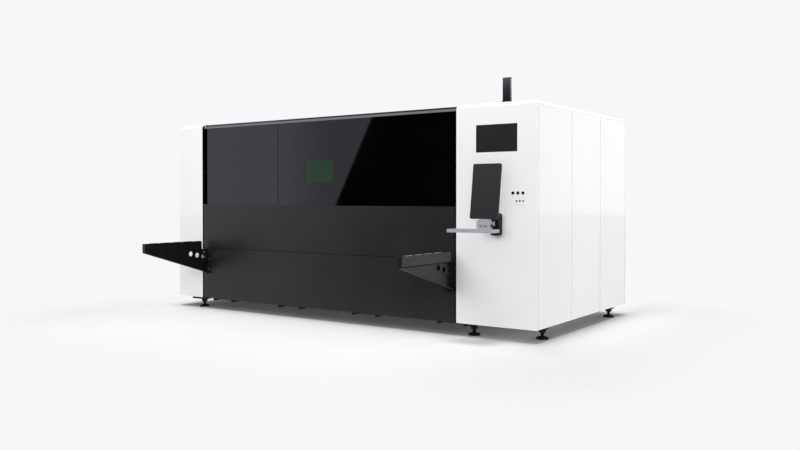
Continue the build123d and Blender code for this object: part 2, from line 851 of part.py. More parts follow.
with BuildPart() as table_slats:
    slat_y = (table_front + slat_end_gap, table_back - slat_end_gap)
    tooth_step = (slat_y[1] - slat_y[0]) / tooth_count
    ridge = [(slat_y[0], slat_top - tooth_depth)]
    for index in range(tooth_count):
        ridge.append((slat_y[0] + (index + 1 / 2) * tooth_step, slat_top))
        ridge.append((slat_y[0] + (index + 1) * tooth_step, slat_top - tooth_depth))
    slat_planes = [Plane.YZ.offset(slat - slat_thickness / 2) for slat in slat_lines]
    with BuildSketch(*slat_planes):
        with BuildLine():
            Polyline(*ridge, (slat_y[1], slat_bottom), (slat_y[0], slat_bottom), close=True)
        make_face()
    extrude(amount=slat_thickness)
save(table_slats, "table_slats")

with BuildPart() as table_carriages:
    for line in table_lines:
        for index in range(table_carriage_count):
            spot = table_back - table_carriage_inset - index * table_carriage_pitch
            carriage_y = around(spot, table_carriage_length)
            carriage_z = (carriage_groove - table_carriage_skirt, table_bottom)
            block(around(line, table_carriage_width), carriage_y, carriage_z)
            groove_z = (carriage_z[0], carriage_groove)
            block(around(line, rail_width + running_gap * 2), carriage_y, groove_z, mode=Mode.SUBTRACT)
save(table_carriages, "table_carriages")

# Slag tray: an open folded pan on the bay tubes, under the table
with BuildPart() as slag_tray:
    slag_x = (bay_left + tray_margin, bay_right - tray_margin)
    slag_y = (front + slag_tray_setback, back - slag_tray_setback)
    block(slag_x, slag_y, (bed_top, bed_top + slag_tray_height))
    inner_x = (slag_x[0] + sheet, slag_x[1] - sheet)
    inner_y = (slag_y[0] + sheet, slag_y[1] - sheet)
    block(inner_x, inner_y, (bed_top + sheet, bed_top + slag_tray_height), mode=Mode.SUBTRACT)
save(slag_tray, "slag_tray")

# Gantry rail beams along the front and the back of the chamber, with rails and racks
with BuildPart() as gantry_rail_beams:
    beam_x = (left_tube - tube / 2, mid_tube + tube / 2)
    for line in rail_lines:
        beam_z = (gantry_beam_bottom, gantry_beam_top)
        hollow_bar(beam_x, around(line, gantry_tube), beam_z, gantry_wall, 0)
save(gantry_rail_beams, "gantry_rail_beams")

# Each end of the gantry is described by its rail line and the way towards the chamber's middle
gantry_rail_x = (bay_left + gantry_rail_margin, bay_right - gantry_rail_margin)
gantry_sides = ((rail_lines[0], 1), (rail_lines[1], -1))
rack_offset = gantry_carriage_width / 2 + rack_gap + rack_width / 2
motor_offset = gantry_tube / 2 + motor_gap + motor_width / 2
gantry_plate_reach = motor_offset + motor_width / 2 + gantry_plate_margin
with BuildPart() as gantry_rails:
    for line, inward in gantry_sides:
        block(gantry_rail_x, around(line, gantry_rail_width), (gantry_beam_top, gantry_rail_top))
        rack_y = around(line + inward * rack_offset, rack_width)
        block(gantry_rail_x, rack_y, (gantry_beam_top, gantry_beam_top + rack_width))
save(gantry_rails, "gantry_rails")

with BuildPart() as gantry_carriages:
    carriage_shift = (gantry_end_width - gantry_carriage_length) / 2
    for line in rail_lines:
        for middle in (gantry_mid - carriage_shift, gantry_mid + carriage_shift):
            carriage_x = around(middle, gantry_carriage_length)
            carriage_z = (gantry_groove - gantry_carriage_skirt, gantry_plate_bottom)
            carriage_y = around(line, gantry_carriage_width)
            block(carriage_x, carriage_y, carriage_z)
            groove_y = around(line, gantry_rail_width + running_gap * 2)
            groove_z = (carriage_z[0], gantry_groove)
            block(carriage_x, groove_y, groove_z, mode=Mode.SUBTRACT)
save(gantry_carriages, "gantry_carriages")

with BuildPart() as gantry_end_plates:
    for line, inward in gantry_sides:
        ends = (line - inward * gantry_plate_back, line + inward * gantry_plate_reach)
        plate_z = (gantry_plate_bottom, bridge_bottom)
        block(around(gantry_mid, gantry_end_width), (min(ends), max(ends)), plate_z)
save(gantry_end_plates, "gantry_end_plates")

with BuildPart() as gantry_motors:
    for line, inward in gantry_sides:
        motor_y = around(line + inward * motor_offset, motor_width)
        motor_z = (gantry_plate_bottom - motor_height, gantry_plate_bottom)
        block(around(gantry_mid, motor_width), motor_y, motor_z)
    upright = gantry_motors.edges().filter_by(Axis.Z)
    fillet(upright, radius=motor_radius)
save(gantry_motors, "gantry_motors")

with BuildPart() as gantry_bridge:
    bridge_y = (rail_lines[0] - bridge_end_back, rail_lines[1] + bridge_end_back)
    hollow_bar(around(gantry_mid, bridge_width), bridge_y, (bridge_bottom, bridge_top), gantry_wall, 1)
save(gantry_bridge, "gantry_bridge")

head_rail_levels = (head_rail_mid - head_rail_pitch / 2, head_rail_mid + head_rail_pitch / 2)
with BuildPart() as head_rails:
    for level in head_rail_levels:
        rail_x = (bridge_face - head_rail_height, bridge_face)
        rail_ends = head_plate_width / 2 + head_rail_overrun
        rail_y = (head_mid - head_travel - rail_ends, head_mid + rail_ends)
        block(rail_x, rail_y, around(level, head_rail_width))
save(head_rails, "head_rails")

# Head carriage: a plate grooved over the two head rails
with BuildPart() as head_carriage:
    plate_z = (bridge_bottom + head_plate_margin, bridge_top - head_plate_margin)
    block((head_plate_outer, head_plate_inner), around(head_mid, head_plate_width), plate_z)
    for level in head_rail_levels:
        groove_x = (bridge_face - head_rail_height - running_gap, head_plate_inner)
        groove_z = around(level, head_rail_width + running_gap * 2)
        block(groove_x, around(head_mid, head_plate_width), groove_z, mode=Mode.SUBTRACT)
save(head_carriage, "head_carriage")

# Cutting head: a slide column with the optic barrel, collimator and ceramic holder hanging below it
optic_bottom = slide_bottom - optic_height
ceramic_bottom = optic_bottom - collimator_height
with BuildPart() as cutting_head:
    slide_z = (slide_bottom, slide_bottom + slide_height)
    block((slide_inner - slide_depth, slide_inner), around(head_mid, slide_width), slide_z)
    fillet(cutting_head.edges().filter_by(Axis.Z), radius=slide_radius)
    hanging = (Align.CENTER, Align.CENTER, Align.MAX)
    with Locations((slide_mid, head_mid, slide_bottom)):
        Cylinder(optic_dia / 2, optic_height, align=hanging)
    with Locations((slide_mid, head_mid, optic_bottom)):
        Cone(ceramic_dia / 2, collimator_dia / 2, collimator_height, align=hanging)
save(cutting_head, "cutting_head")

with BuildPart() as cutting_nozzle:
    with Locations((slide_mid, head_mid, ceramic_bottom)):
        Cone(nozzle_tip_dia / 2, ceramic_dia / 2, nozzle_height, align=hanging)
save(cutting_nozzle, "cutting_nozzle")

# Cabinet equipment: a deck on the tubes, the laser source and the control box
with BuildPart() as equipment_deck:
    deck_x = (bay_right + sheet + deck_margin, right_tube + tube / 2)
    deck_y = (front_tube_y[1] + deck_margin, rear_tube_y[0] - deck_margin)
    block(deck_x, deck_y, (bed_top, bed_top + deck_thickness))
save(equipment_deck, "equipment_deck")

deck_top = bed_top + deck_thickness
source_x = (bay_right + equipment_inset, right_tube - tube / 2 - equipment_end_gap)
control_x = (source_x[0], source_x[1] - control_step)
equipment_run = deck_y[1] - deck_y[0] - equipment_gap * 3
control_y = (deck_y[0] + equipment_gap, deck_y[0] + equipment_gap + equipment_run * control_share)
source_y = (control_y[1] + equipment_gap, deck_y[1] - equipment_gap)


def finned_box(x, y, z):
    """A housing with softened upright edges and cooling slots across its right face."""
    block(x, y, z)
    step = (z[1] - z[0]) / (fin_count + 1)
    slot_y = (y[0] + step * fin_share, y[1] - step * fin_share)
    for index in range(fin_count):
        slot_z = around(z[0] + (index + 1) * step, step * fin_share)
        block((x[1] - fin_depth, x[1]), slot_y, slot_z, mode=Mode.SUBTRACT)


with BuildPart() as laser_source:
    finned_box(source_x, source_y, (deck_top, deck_top + source_height))
    fillet(laser_source.edges().filter_by(Axis.Z).group_by(Axis.X)[0], radius=equipment_edge)
save(laser_source, "laser_source")

with BuildPart() as control_box:
    finned_box(control_x, control_y, (deck_top, deck_top + control_height))
    fillet(control_box.edges().filter_by(Axis.Z).group_by(Axis.X)[0], radius=equipment_edge)
save(control_box, "control_box")

# Tower light: a flat lamp with rounded edges and vents in its side, on a low base
tower_x = right - tower_inset
tower_y = front + tower_setback
tower_base_top = crown + tower_base_height
with BuildPart() as tower_base:
    with BuildSketch(Plane.XY.offset(crown)):
        with Locations((tower_x, tower_y)):
            RectangleRounded(
                tower_width + tower_base_margin * 2, tower_depth + tower_base_margin * 2, tower_corner
            )
    extrude(amount=tower_base_height)
save(tower_base, "tower_base")

with BuildPart() as tower_lamp:
    with BuildSketch(Plane.XY.offset(tower_base_top)):
        with Locations((tower_x, tower_y)):
            RectangleRounded(tower_width, tower_depth, tower_corner)
    extrude(amount=tower_height)
    with BuildSketch(Plane.YZ.offset(tower_x + tower_width / 2)):
        for index in range(tower_vent_count):
            with Locations((tower_y, tower_base_top + tower_vent_level + index * tower_vent_pitch)):
                Circle(tower_vent_dia / 2)
    extrude(amount=-tower_vent_depth, mode=Mode.SUBTRACT)
save(tower_lamp, "tower_lamp")

# Console bracket: a rounded block on the cabinet with two lugs that hold the swivel pin
swivel_z = base + bracket_sill + swivel_rise
barrel_z = (swivel_z + swivel_lug_thickness, swivel_z + swivel_lug_thickness + swivel_barrel_height)
with BuildPart() as console_bracket:
    bracket_x = (right - bracket_inset - bracket_width, right - bracket_inset)
    bracket_z = (base + bracket_sill, base + bracket_sill + bracket_height)
    block(bracket_x, (front - bracket_depth, front), bracket_z)
    fillet(console_bracket.edges().filter_by(Axis.Y), radius=bracket_corner)
    fillet(console_bracket.faces().sort_by(Axis.Y)[0].edges(), radius=bracket_edge)
    with BuildSketch(facing_front.offset(bracket_depth)):
        with Locations((swivel_x, bracket_z[1] - boss_drop)):
            Circle(boss_dia / 2)
    extrude(amount=boss_height)
    for lug_bottom in (swivel_z, barrel_z[1]):
        lug_y = (swivel_y, front - bracket_depth)
        block(around(swivel_x, swivel_lug_radius * 2), lug_y, (lug_bottom, lug_bottom + swivel_lug_thickness))
        with Locations((swivel_x, swivel_y, lug_bottom)):
            Cylinder(swivel_lug_radius, swivel_lug_thickness, align=standing)
    with Locations((swivel_x, swivel_y, swivel_z)):
        Cylinder(swivel_pin_dia / 2, barrel_z[1] - swivel_z, align=standing)
save(console_bracket, "console_bracket")

# Console neck: the swivel barrel, a port block with two sockets, an apron, and lugs that hold the tilt pin
neck_x = around(swivel_x - neck_offset, neck_width)
neck_y = around(tilt_y, neck_depth)
neck_z = (swivel_z - neck_drop, swivel_z - neck_drop + neck_height)
tilt_z = neck_z[1] + tilt_pin_rise
with BuildPart() as console_neck:
    block(neck_x, neck_y, neck_z)
    block(neck_x, (neck_y[0], neck_y[0] + apron_thickness), (neck_z[1], neck_z[1] + apron_height))
    barrel_low = barrel_z[0] + running_gap
    barrel_tall = swivel_barrel_height - running_gap * 2
    with Locations((swivel_x, swivel_y, barrel_low)):
        Cylinder(swivel_lug_radius, barrel_tall, align=standing)
    link_x = around(swivel_x, swivel_lug_radius)
    block(link_x, (neck_y[1], swivel_y), (barrel_low, neck_z[1]))
    with Locations((swivel_x, swivel_y, barrel_low)):
        Cylinder(swivel_pin_dia / 2 + running_gap, barrel_tall, align=standing, mode=Mode.SUBTRACT)
    for lug_x in ((neck_x[0], neck_x[0] + neck_lug_width), (neck_x[1] - neck_lug_width, neck_x[1])):
        block(lug_x, around(tilt_y, neck_lug_radius * 2), (neck_z[1], tilt_z))
        with BuildSketch(Plane.YZ.offset(lug_x[0])):
            with Locations((tilt_y, tilt_z)):
                Circle(neck_lug_radius)
        extrude(amount=neck_lug_width)
    with BuildSketch(Plane.YZ.offset(neck_x[0])):
        with Locations((tilt_y, tilt_z)):
            Circle(tilt_pin_dia / 2)
    extrude(amount=neck_width)
    with BuildSketch(Plane.XZ.offset(-neck_y[0])):
        for socket_x in (neck_x[0] + neck_width / 3, neck_x[1] - neck_width / 3):
            with Locations((socket_x, (neck_z[0] + neck_z[1]) / 2)):
                Rectangle(socket_width, socket_height)
    extrude(amount=-socket_depth, mode=Mode.SUBTRACT)
save(console_neck, "console_neck")

# Keyboard tray: a dished plate with rounded corners under the neck
with BuildPart() as keyboard_tray:
    tray_x = around(swivel_x - tray_offset, tray_width)
    tray_y = (neck_y[0] + tray_lap - tray_depth, neck_y[0] + tray_lap)
    tray_z = (neck_z[0] - tray_thickness, neck_z[0])
    block(tray_x, tray_y, tray_z)
    fillet(keyboard_tray.edges().filter_by(Axis.Z), radius=tray_edge)
    dish_x = (tray_x[0] + tray_rim, tray_x[1] - tray_rim)
    dish_y = (tray_y[0] + tray_rim, neck_y[0] - tray_rim)
    block(dish_x, dish_y, (tray_z[1] - tray_dish, tray_z[1]), mode=Mode.SUBTRACT)
save(keyboard_tray, "keyboard_tray")

# Tablet: a rounded slab that leans back, with a tongue round the tilt pin and a glass in its face
lean = radians(tablet_lean)
tablet_x = swivel_x - tablet_offset
tablet_rise = tablet_height / 2
tablet_bottom = neck_z[1] + tablet_gap
tablet_y = tilt_y - tablet_foot_offset + sin(lean) * tablet_rise
tablet_z = tablet_bottom + cos(lean) * tablet_rise
tablet_face = Plane(
    origin=(tablet_x, tablet_y, tablet_z),
    x_dir=(1, 0, 0),
    z_dir=(0, -cos(lean), sin(lean)),
)
glass_width = tablet_width - tablet_bezel * 2
glass_height = tablet_height - tablet_bezel * 2
with BuildPart() as tablet:
    with BuildSketch(tablet_face):
        RectangleRounded(tablet_width, tablet_height, tablet_corner)
    extrude(amount=-tablet_thickness)
    tongue_x = (neck_x[0] + neck_lug_width + running_gap, neck_x[1] - neck_lug_width - running_gap)
    tongue_z = (tilt_z, tablet_bottom + tongue_radius)
    block(tongue_x, around(tilt_y, tongue_radius * 2), tongue_z)
    with BuildSketch(Plane.YZ.offset(tongue_x[0])):
        with Locations((tilt_y, tilt_z)):
            Circle(tongue_radius)
    extrude(amount=tongue_x[1] - tongue_x[0])
    with BuildSketch(Plane.YZ.offset(tongue_x[0])):
        with Locations((tilt_y, tilt_z)):
            Circle(tilt_pin_dia / 2 + running_gap)
    extrude(amount=tongue_x[1] - tongue_x[0], mode=Mode.SUBTRACT)
    with BuildSketch(tablet_face):
        Rectangle(glass_width, glass_height)
    extrude(amount=-tablet_recess, mode=Mode.SUBTRACT)
save(tablet, "tablet")

with BuildPart() as tablet_screen:
    with BuildSketch(tablet_face.offset(-tablet_recess)):
        Rectangle(glass_width - running_gap * 2, glass_height - running_gap * 2)
    extrude(amount=tablet_recess / 2)
save(tablet_screen, "tablet_screen")
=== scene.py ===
# %% [markdown]
# # A fiber laser cutting machine, dressed for the studio
# The solids come from CAD and already have the right size and place. This lesson gives them their
# paint, metal, glass and plastic, adds the small parts that a workshop would screw on, and sets up
# the studio. Loading the frame first means that every later piece can be measured from a solid.

# %% Load the frame
import json
from math import pi, radians
import bmesh
import bpy
from mathutils import Matrix, Vector


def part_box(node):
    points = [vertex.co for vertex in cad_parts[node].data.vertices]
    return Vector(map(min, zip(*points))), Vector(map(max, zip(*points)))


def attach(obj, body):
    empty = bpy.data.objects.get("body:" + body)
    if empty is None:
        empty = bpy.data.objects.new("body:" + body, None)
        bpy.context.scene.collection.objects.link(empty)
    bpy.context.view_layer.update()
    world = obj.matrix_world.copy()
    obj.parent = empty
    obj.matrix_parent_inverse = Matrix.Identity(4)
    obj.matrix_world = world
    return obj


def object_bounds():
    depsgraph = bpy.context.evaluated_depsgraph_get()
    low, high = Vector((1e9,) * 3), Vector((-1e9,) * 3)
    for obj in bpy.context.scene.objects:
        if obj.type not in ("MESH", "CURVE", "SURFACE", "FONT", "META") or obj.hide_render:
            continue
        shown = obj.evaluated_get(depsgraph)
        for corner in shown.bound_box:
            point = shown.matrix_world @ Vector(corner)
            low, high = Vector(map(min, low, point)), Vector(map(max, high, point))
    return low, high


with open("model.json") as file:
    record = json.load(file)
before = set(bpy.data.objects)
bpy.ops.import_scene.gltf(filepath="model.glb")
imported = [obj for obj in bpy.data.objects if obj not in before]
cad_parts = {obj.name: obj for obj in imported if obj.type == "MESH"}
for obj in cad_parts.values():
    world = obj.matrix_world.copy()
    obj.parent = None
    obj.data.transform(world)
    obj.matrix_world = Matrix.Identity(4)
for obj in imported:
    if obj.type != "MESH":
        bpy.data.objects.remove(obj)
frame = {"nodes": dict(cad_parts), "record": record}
cad_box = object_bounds()
nodes = frame["nodes"]

# %% [markdown]
# ## Colours, sizes and nodes
# Paint charts give colours as sRGB hex values, but shaders work in linear light, so one function
# does the change. Pattern sizes are thought of in millimetres, and a noise texture wants the number
# of its features in a metre, which is a second one-line function. The third adds a shader node, sets
# it and links it in one call, so that a material can be read from top to bottom. An input may be a
# value, an output of another node, or a node, which then gives its first output. The last one starts
# a material with the object's own coordinates, on which its patterns are laid out.

# %% Helpers for materials
mm = 0.001


def linear(hex_colour):
    """Turns an sRGB hex colour into the linear colour that shaders use."""
    channels = [int(hex_colour[i:i + 2], 16) / 255 for i in (1, 3, 5)]
    return [c / 12.92 if c <= 0.04045 else ((c + 0.055) / 1.055) ** 2.4 for c in channels] + [1.0]


def per_mm(size):
    """The texture scale at which one feature is this many millimetres long."""
    return 1000 / size


def add_node(tree, kind, inputs=None, stops=None, **settings):
    """Adds a node, sets its properties and colour stops, and sets or links its inputs."""
    made = tree.nodes.new(kind)
    for name, value in settings.items():
        setattr(made, name, value)
    for index, (position, hex_colour) in enumerate(stops or ()):
        stop = made.color_ramp.elements[index] if index < 2 else made.color_ramp.elements.new(position)
        stop.position = position
        stop.color = linear(hex_colour)
    for name, value in (inputs or {}).items():
        source = value.outputs[0] if isinstance(value, bpy.types.Node) else value
        if isinstance(source, bpy.types.NodeSocket):
            tree.links.new(source, made.inputs[name])
        else:
            made.inputs[name].default_value = source
    return made


def new_material(name):
    """An empty node material, the tree to fill, and the coordinates of the object it is on."""
    material = bpy.data.materials.new(name)
    material.use_nodes = True
    tree = material.node_tree
    tree.nodes.clear()
    return material, tree, add_node(tree, "ShaderNodeTexCoord").outputs["Object"]


print("white #F7F7F8 is", [round(c, 3) for c in linear("#F7F7F8")], "in linear light")

# %% [markdown]
# ## The camera
# The view is that of a person who stands a few metres off the right front corner, with the eye a
# little above the middle of the machine. A long wall of sheet metal shows every error in the view,
# so the place and the lens were worked out from the machine's corners and not by eye. The small
# shift keeps the uprights upright while the machine sits a little low in the frame.

# %% Camera
camera_data = bpy.data.cameras.new("studio_camera")
camera_data.sensor_fit = "HORIZONTAL"
camera_data.sensor_width = 36.0
camera_data.lens = 36.57
camera_data.shift_y = -0.0217
camera_data.clip_end = 200.0
camera = bpy.data.objects.new("studio_camera", camera_data)
camera.location = (5.141, -6.888, 1.220)
tilt_down = 0.66
turn_left = 34.68
camera.rotation_euler = (radians(90 - tilt_down), 0.0, radians(turn_left))
bpy.context.scene.collection.objects.link(camera)
bpy.context.scene.camera = camera
print("camera at", tuple(round(v, 3) for v in camera.location), "lens", camera_data.lens)

# %% [markdown]
# ## The room
# A catalogue photograph of a machine is taken in a white room. Walls could be built for it, but the
# world colour does the same without corners: it shows behind the machine and lights it from all sides
# at half strength. What the paint mirrors is a white wall above a grey floor, so that glossy sheet
# shows a horizon at eye level. A black card stands in front of the machine, as a later step tells, and
# the wall beside it is in its shade, so the mirrored wall gets darker towards the card's edge.

# %% Room
scene = bpy.context.scene
scene.view_settings.view_transform = "Standard"
room = bpy.data.worlds.new("white_room")
scene.world = room
room.use_nodes = True
room.node_tree.nodes.clear()
tree = room.node_tree
wall_white = linear("#F7F7F9")
eye_level = (-0.021, -0.017)
shaded_slant, lit_slant = 0.84, 0.93
rays = add_node(tree, "ShaderNodeLightPath").outputs
towards = add_node(tree, "ShaderNodeTexCoord").outputs["Generated"]
axes = add_node(tree, "ShaderNodeSeparateXYZ", {"Vector": towards}).outputs
horizon = add_node(tree, "ShaderNodeMapRange", {
    "Value": axes["Z"], "From Min": eye_level[0], "From Max": eye_level[1]})
mirrored = add_node(tree, "ShaderNodeValToRGB", {"Fac": horizon},
                    stops=((0.0, "#C8C8CB"), (1.0, "#F7F7F9")))
slant = add_node(tree, "ShaderNodeMath", {0: axes["X"], 1: axes["Y"]}, operation="DIVIDE")
falloff = add_node(tree, "ShaderNodeMapRange", {
    "Value": slant, "From Min": shaded_slant, "From Max": lit_slant, "To Min": 0.67, "To Max": 1.0})
behind = add_node(tree, "ShaderNodeMapRange", {"Value": axes["Y"], "From Min": -0.01, "From Max": 0.0})
share = add_node(tree, "ShaderNodeMath", {0: falloff, 1: behind}, operation="MAXIMUM")
wall = add_node(tree, "ShaderNodeBackground", {"Color": wall_white, "Strength": 1.0})
gloss = add_node(tree, "ShaderNodeBackground", {"Color": mirrored, "Strength": share})
fill = add_node(tree, "ShaderNodeBackground", {"Color": wall_white, "Strength": 0.5})
sharp = add_node(tree, "ShaderNodeMath", {
    0: rays["Is Glossy Ray"], 1: rays["Is Transmission Ray"]}, operation="MAXIMUM")
reflected = add_node(tree, "ShaderNodeMixShader", {"Fac": sharp, 1: fill, 2: gloss})
seen = add_node(tree, "ShaderNodeMixShader", {"Fac": rays["Is Camera Ray"], 1: reflected, 2: wall})
add_node(tree, "ShaderNodeOutputWorld", {"Surface": seen})
print("room of", len(tree.nodes), "nodes")

# %% [markdown]
# ## The floor
# The floor's glow is painted light and painted shadow. It glows enough to be nearly white ahead of the
# front and beside the right end, a painted pool of light, and less under the machine, where it paints
# the grey of the shadow so that the feet stand out black in it. Both glows change along the length of
# the machine, and the paint is a little darker beside the white end, painted shade against the light
# that that wall throws on the floor. What the floor throws back to the walls is kept low, so they get
# darker towards the ground. A bent backdrop sheet would show its bend from other sides; this floor is a
# flat disc that fades out into the room away from the machine.

# %% Floor paint
floor_paint, tree, place = new_material("white_studio_floor")
centre = (cad_box[0] + cad_box[1]) / 2
reach = (cad_box[1] - cad_box[0]) / 2
moved = add_node(tree, "ShaderNodeMapping", {"Vector": place, "Location": (-centre.x, -centre.y, 0.0)})
span = add_node(tree, "ShaderNodeVectorMath", {0: moved}, operation="ABSOLUTE")
past = add_node(tree, "ShaderNodeVectorMath", {0: span, 1: (reach.x, reach.y, 1.0)}, operation="SUBTRACT")
beyond = add_node(tree, "ShaderNodeVectorMath", {0: past}, operation="MAXIMUM")
distance = add_node(tree, "ShaderNodeVectorMath", {0: beyond}, operation="LENGTH").outputs["Value"]

half_length = 3.2
shade_width = 0.45
front_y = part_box("cabinet_front_panel")[0].y
side_x = cad_box[1].x
axes = add_node(tree, "ShaderNodeSeparateXYZ", {"Vector": place}).outputs
along = add_node(tree, "ShaderNodeMapRange", {
    "Value": axes["X"], "From Min": -half_length, "From Max": half_length})
# Painted shade: the floor's paint darkens towards the right end, against the light that the white end throws
# on it.
tone = add_node(tree, "ShaderNodeValToRGB", {"Fac": along}, stops=((0.69, "#F3F3F4"), (1.0, "#E3E3E4")))
clear_front = add_node(tree, "ShaderNodeMapRange", {
    "Value": axes["Y"], "From Min": front_y, "From Max": front_y - shade_width})
clear_side = add_node(tree, "ShaderNodeMapRange", {
    "Value": axes["X"], "From Min": side_x, "From Max": side_x + shade_width})
clear = add_node(tree, "ShaderNodeMath", {0: clear_front, 1: clear_side}, operation="MAXIMUM")
# Painted light and shadow: the glow is dim grey under the machine, a painted shadow level, and nearly white
# ahead of the front and beside the right end.
painted_shadow_glow = add_node(tree, "ShaderNodeValToRGB", {"Fac": along},
                 stops=((0.69, "#3C3C3C"), (0.81, "#6A6A6A"), (0.85, "#1E1E1E")))
painted_light_glow = add_node(tree, "ShaderNodeValToRGB", {"Fac": along},
                  stops=((0.1, "#202020"), (0.3, "#707070"), (0.69, "#707070"), (1.0, "#464646")))
painted_light_and_shadow = add_node(tree, "ShaderNodeMix", {"Factor": clear, 6: painted_shadow_glow, 7: painted_light_glow}, data_type="RGBA").outputs[2]
matt = add_node(tree, "ShaderNodeBsdfPrincipled", {
    "Base Color": tone, "Roughness": 1.0, "Specular IOR Level": 0.0,
    "Emission Color": painted_light_and_shadow, "Emission Strength": 1.0})
dim = add_node(tree, "ShaderNodeBsdfDiffuse", {"Color": linear("#C8C8CA")})
bounced = add_node(tree, "ShaderNodeLightPath").outputs["Is Diffuse Ray"]
table = add_node(tree, "ShaderNodeMixShader", {"Fac": bounced, 1: matt, 2: dim})
gone = add_node(tree, "ShaderNodeBsdfTransparent")
fade = add_node(tree, "ShaderNodeMapRange", {
    "Value": distance, "From Min": 0.05, "From Max": 1.6}, interpolation_type="SMOOTHSTEP")
blend = add_node(tree, "ShaderNodeMixShader", {"Fac": fade, 1: table, 2: gone})
add_node(tree, "ShaderNodeOutputMaterial", {"Surface": blend})
print("floor paint of", len(tree.nodes), "nodes")

# %% Floor
bm = bmesh.new()
bmesh.ops.create_circle(bm, cap_ends=True, segments=96, radius=12.0)
floor_mesh = bpy.data.meshes.new("studio_floor")
bm.to_mesh(floor_mesh)
bm.free()
floor = bpy.data.objects.new("studio_floor", floor_mesh)
floor_mesh.transform(Matrix.Translation((0, 0, -1 * mm)))
floor_mesh.materials.append(floor_paint)
scene.collection.objects.link(floor)
floor.visible_glossy = False
print("floor", floor.dimensions[:])

# %% [markdown]
# ## The lights
# Most of the light comes from a luminous ceiling, and large soft lights stand in front and by the
# right end. The ceiling could be a wide area light; it is a sun lamp, because parallel light from
# above draws the machine's own outline on the floor as its shadow. The arms are left out of that
# shadow, and the console out of the one that the front lights would throw on the cabinet. All lights
# on stands are flagged off the floor, so only the ceiling and the room light it.

# %% Soft lights
flagged = bpy.data.collections.new("flagged_from_the_stands")
flagged.objects.link(floor)
flagged.collection_objects[0].light_linking.link_state = "EXCLUDE"


def soft_light(name, size, place, aim, power):
    """A rectangular soft light at a place, turned to face a point and flagged off the floor."""
    data = bpy.data.lights.new(name, "AREA")
    data.shape = "RECTANGLE"
    data.size, data.size_y = size
    data.energy = power
    lamp = bpy.data.objects.new(name, data)
    lamp.location = place
    lamp.rotation_euler = (Vector(aim) - Vector(place)).to_track_quat("-Z", "Y").to_euler()
    scene.collection.objects.link(lamp)
    lamp.visible_camera = False
    lamp.visible_glossy = False
    lamp.light_linking.receiver_collection = flagged
    return lamp


ceiling_data = bpy.data.lights.new("luminous_ceiling", "SUN")
ceiling_data.energy = 1.6
ceiling_data.angle = radians(14)
ceiling = bpy.data.objects.new("luminous_ceiling", ceiling_data)
scene.collection.objects.link(ceiling)
ceiling.visible_glossy = False
front_middle = (0.4, -0.6, 1.6)
front_light = soft_light("front_soft_light", (11.0, 4.0), (0.4, -8.5, 4.6), front_middle, 490)
spill_light = soft_light("front_spill_light", (7.0, 2.5), (0.0, -8.5, 4.9), front_middle, 90)
arms = ("support_arm_left", "support_arm_right", "slide_pads")
console = ("tablet", "tablet_screen", "keyboard_tray")
for lamps, names in (((ceiling,), arms), ((front_light, spill_light), console)):
    passed = bpy.data.collections.new("passed_by_" + lamps[0].name)
    for index, node in enumerate(names):
        passed.objects.link(nodes[node])
        passed.collection_objects[index].light_linking.link_state = "EXCLUDE"
    for lamp in lamps:
        lamp.light_linking.blocker_collection = passed
right_light = soft_light("right_soft_light", (5.0, 2.5), (9.5, 2.5, 3.0), (2.2, 0.4, 1.0), 405)
print("lights", [lamp.data.energy for lamp in (ceiling, front_light, spill_light, right_light)])

# %% [markdown]
# ## The black card
# Photographers stand black cards where a glossy panel would only mirror white. This one leans, which
# gives the slanted edge in the upper panels, and its apron on the floor keeps the lower right of the
# front dark. Only mirrored rays see it, so it takes no light from the machine.

# %% Black card
card_paint, tree, place = new_material("black_felt_card")
felt = add_node(tree, "ShaderNodeTexNoise", {"Vector": place, "Scale": per_mm(40)})
tone = add_node(tree, "ShaderNodeValToRGB", {"Fac": felt}, stops=((0.3, "#010101"), (0.7, "#020202")))
matt = add_node(tree, "ShaderNodeBsdfDiffuse", {"Color": tone})
add_node(tree, "ShaderNodeOutputMaterial", {"Surface": matt})
card_y = -5.0
corners = [(-4.11, 0.0), (1.0, 0.0), (1.0, 4.2), (-1.88, 4.2)]
apron = [(-4.11, card_y), (1.0, card_y), (1.4, -1.6), (-0.6, -1.6)]
bm = bmesh.new()
bm.faces.new([bm.verts.new((x, card_y, z)) for x, z in corners])
bm.faces.new([bm.verts.new((x, y, 0.0)) for x, y in apron])
card_mesh = bpy.data.meshes.new("black_card")
bm.to_mesh(card_mesh)
bm.free()
card_mesh.materials.append(card_paint)
card = bpy.data.objects.new("black_card", card_mesh)
scene.collection.objects.link(card)
card.visible_camera = False
card.visible_diffuse = False
card.visible_shadow = False
print("card edge leans from", corners[0], "to", corners[3], "with an apron on the floor")

# %% [markdown]
# ## White powder coat
# The cabinet and the column are sheet steel with a baked white powder coat under a clear lacquer. The
# powder leaves a faint orange peel where it melted; the lacquer over it is smooth and mirrors the
# horizon as a straight line. A plain white would look like paper, so a slow drift of tone and gloss
# over half a metre is added, and a shallow bump for the peel. Real peel is about 3 mm; it is drawn
# at 12 mm here, because anything finer would not show.

# %% White powder coat
white_coat, tree, place = new_material("white_powder_coat")
drift = add_node(tree, "ShaderNodeTexNoise", {"Vector": place, "Scale": per_mm(600), "Detail": 2.0})
tone = add_node(tree, "ShaderNodeValToRGB", {"Fac": drift}, stops=((0.3, "#EFEFF0"), (0.7, "#F3F3F4")))
gloss = add_node(tree, "ShaderNodeMapRange", {"Value": drift, "To Min": 0.16, "To Max": 0.26})
peel = add_node(tree, "ShaderNodeTexNoise", {"Vector": place, "Scale": per_mm(12), "Detail": 1.0})
relief = add_node(tree, "ShaderNodeBump", {"Height": peel, "Strength": 0.12, "Distance": 0.4 * mm})
skin = add_node(tree, "ShaderNodeBsdfPrincipled", {
    "Base Color": tone, "Roughness": gloss, "Normal": relief,
    "IOR": 1.5, "Coat Weight": 1.0, "Coat Roughness": 0.03})
add_node(tree, "ShaderNodeOutputMaterial", {"Surface": skin})
print("made", white_coat.name)

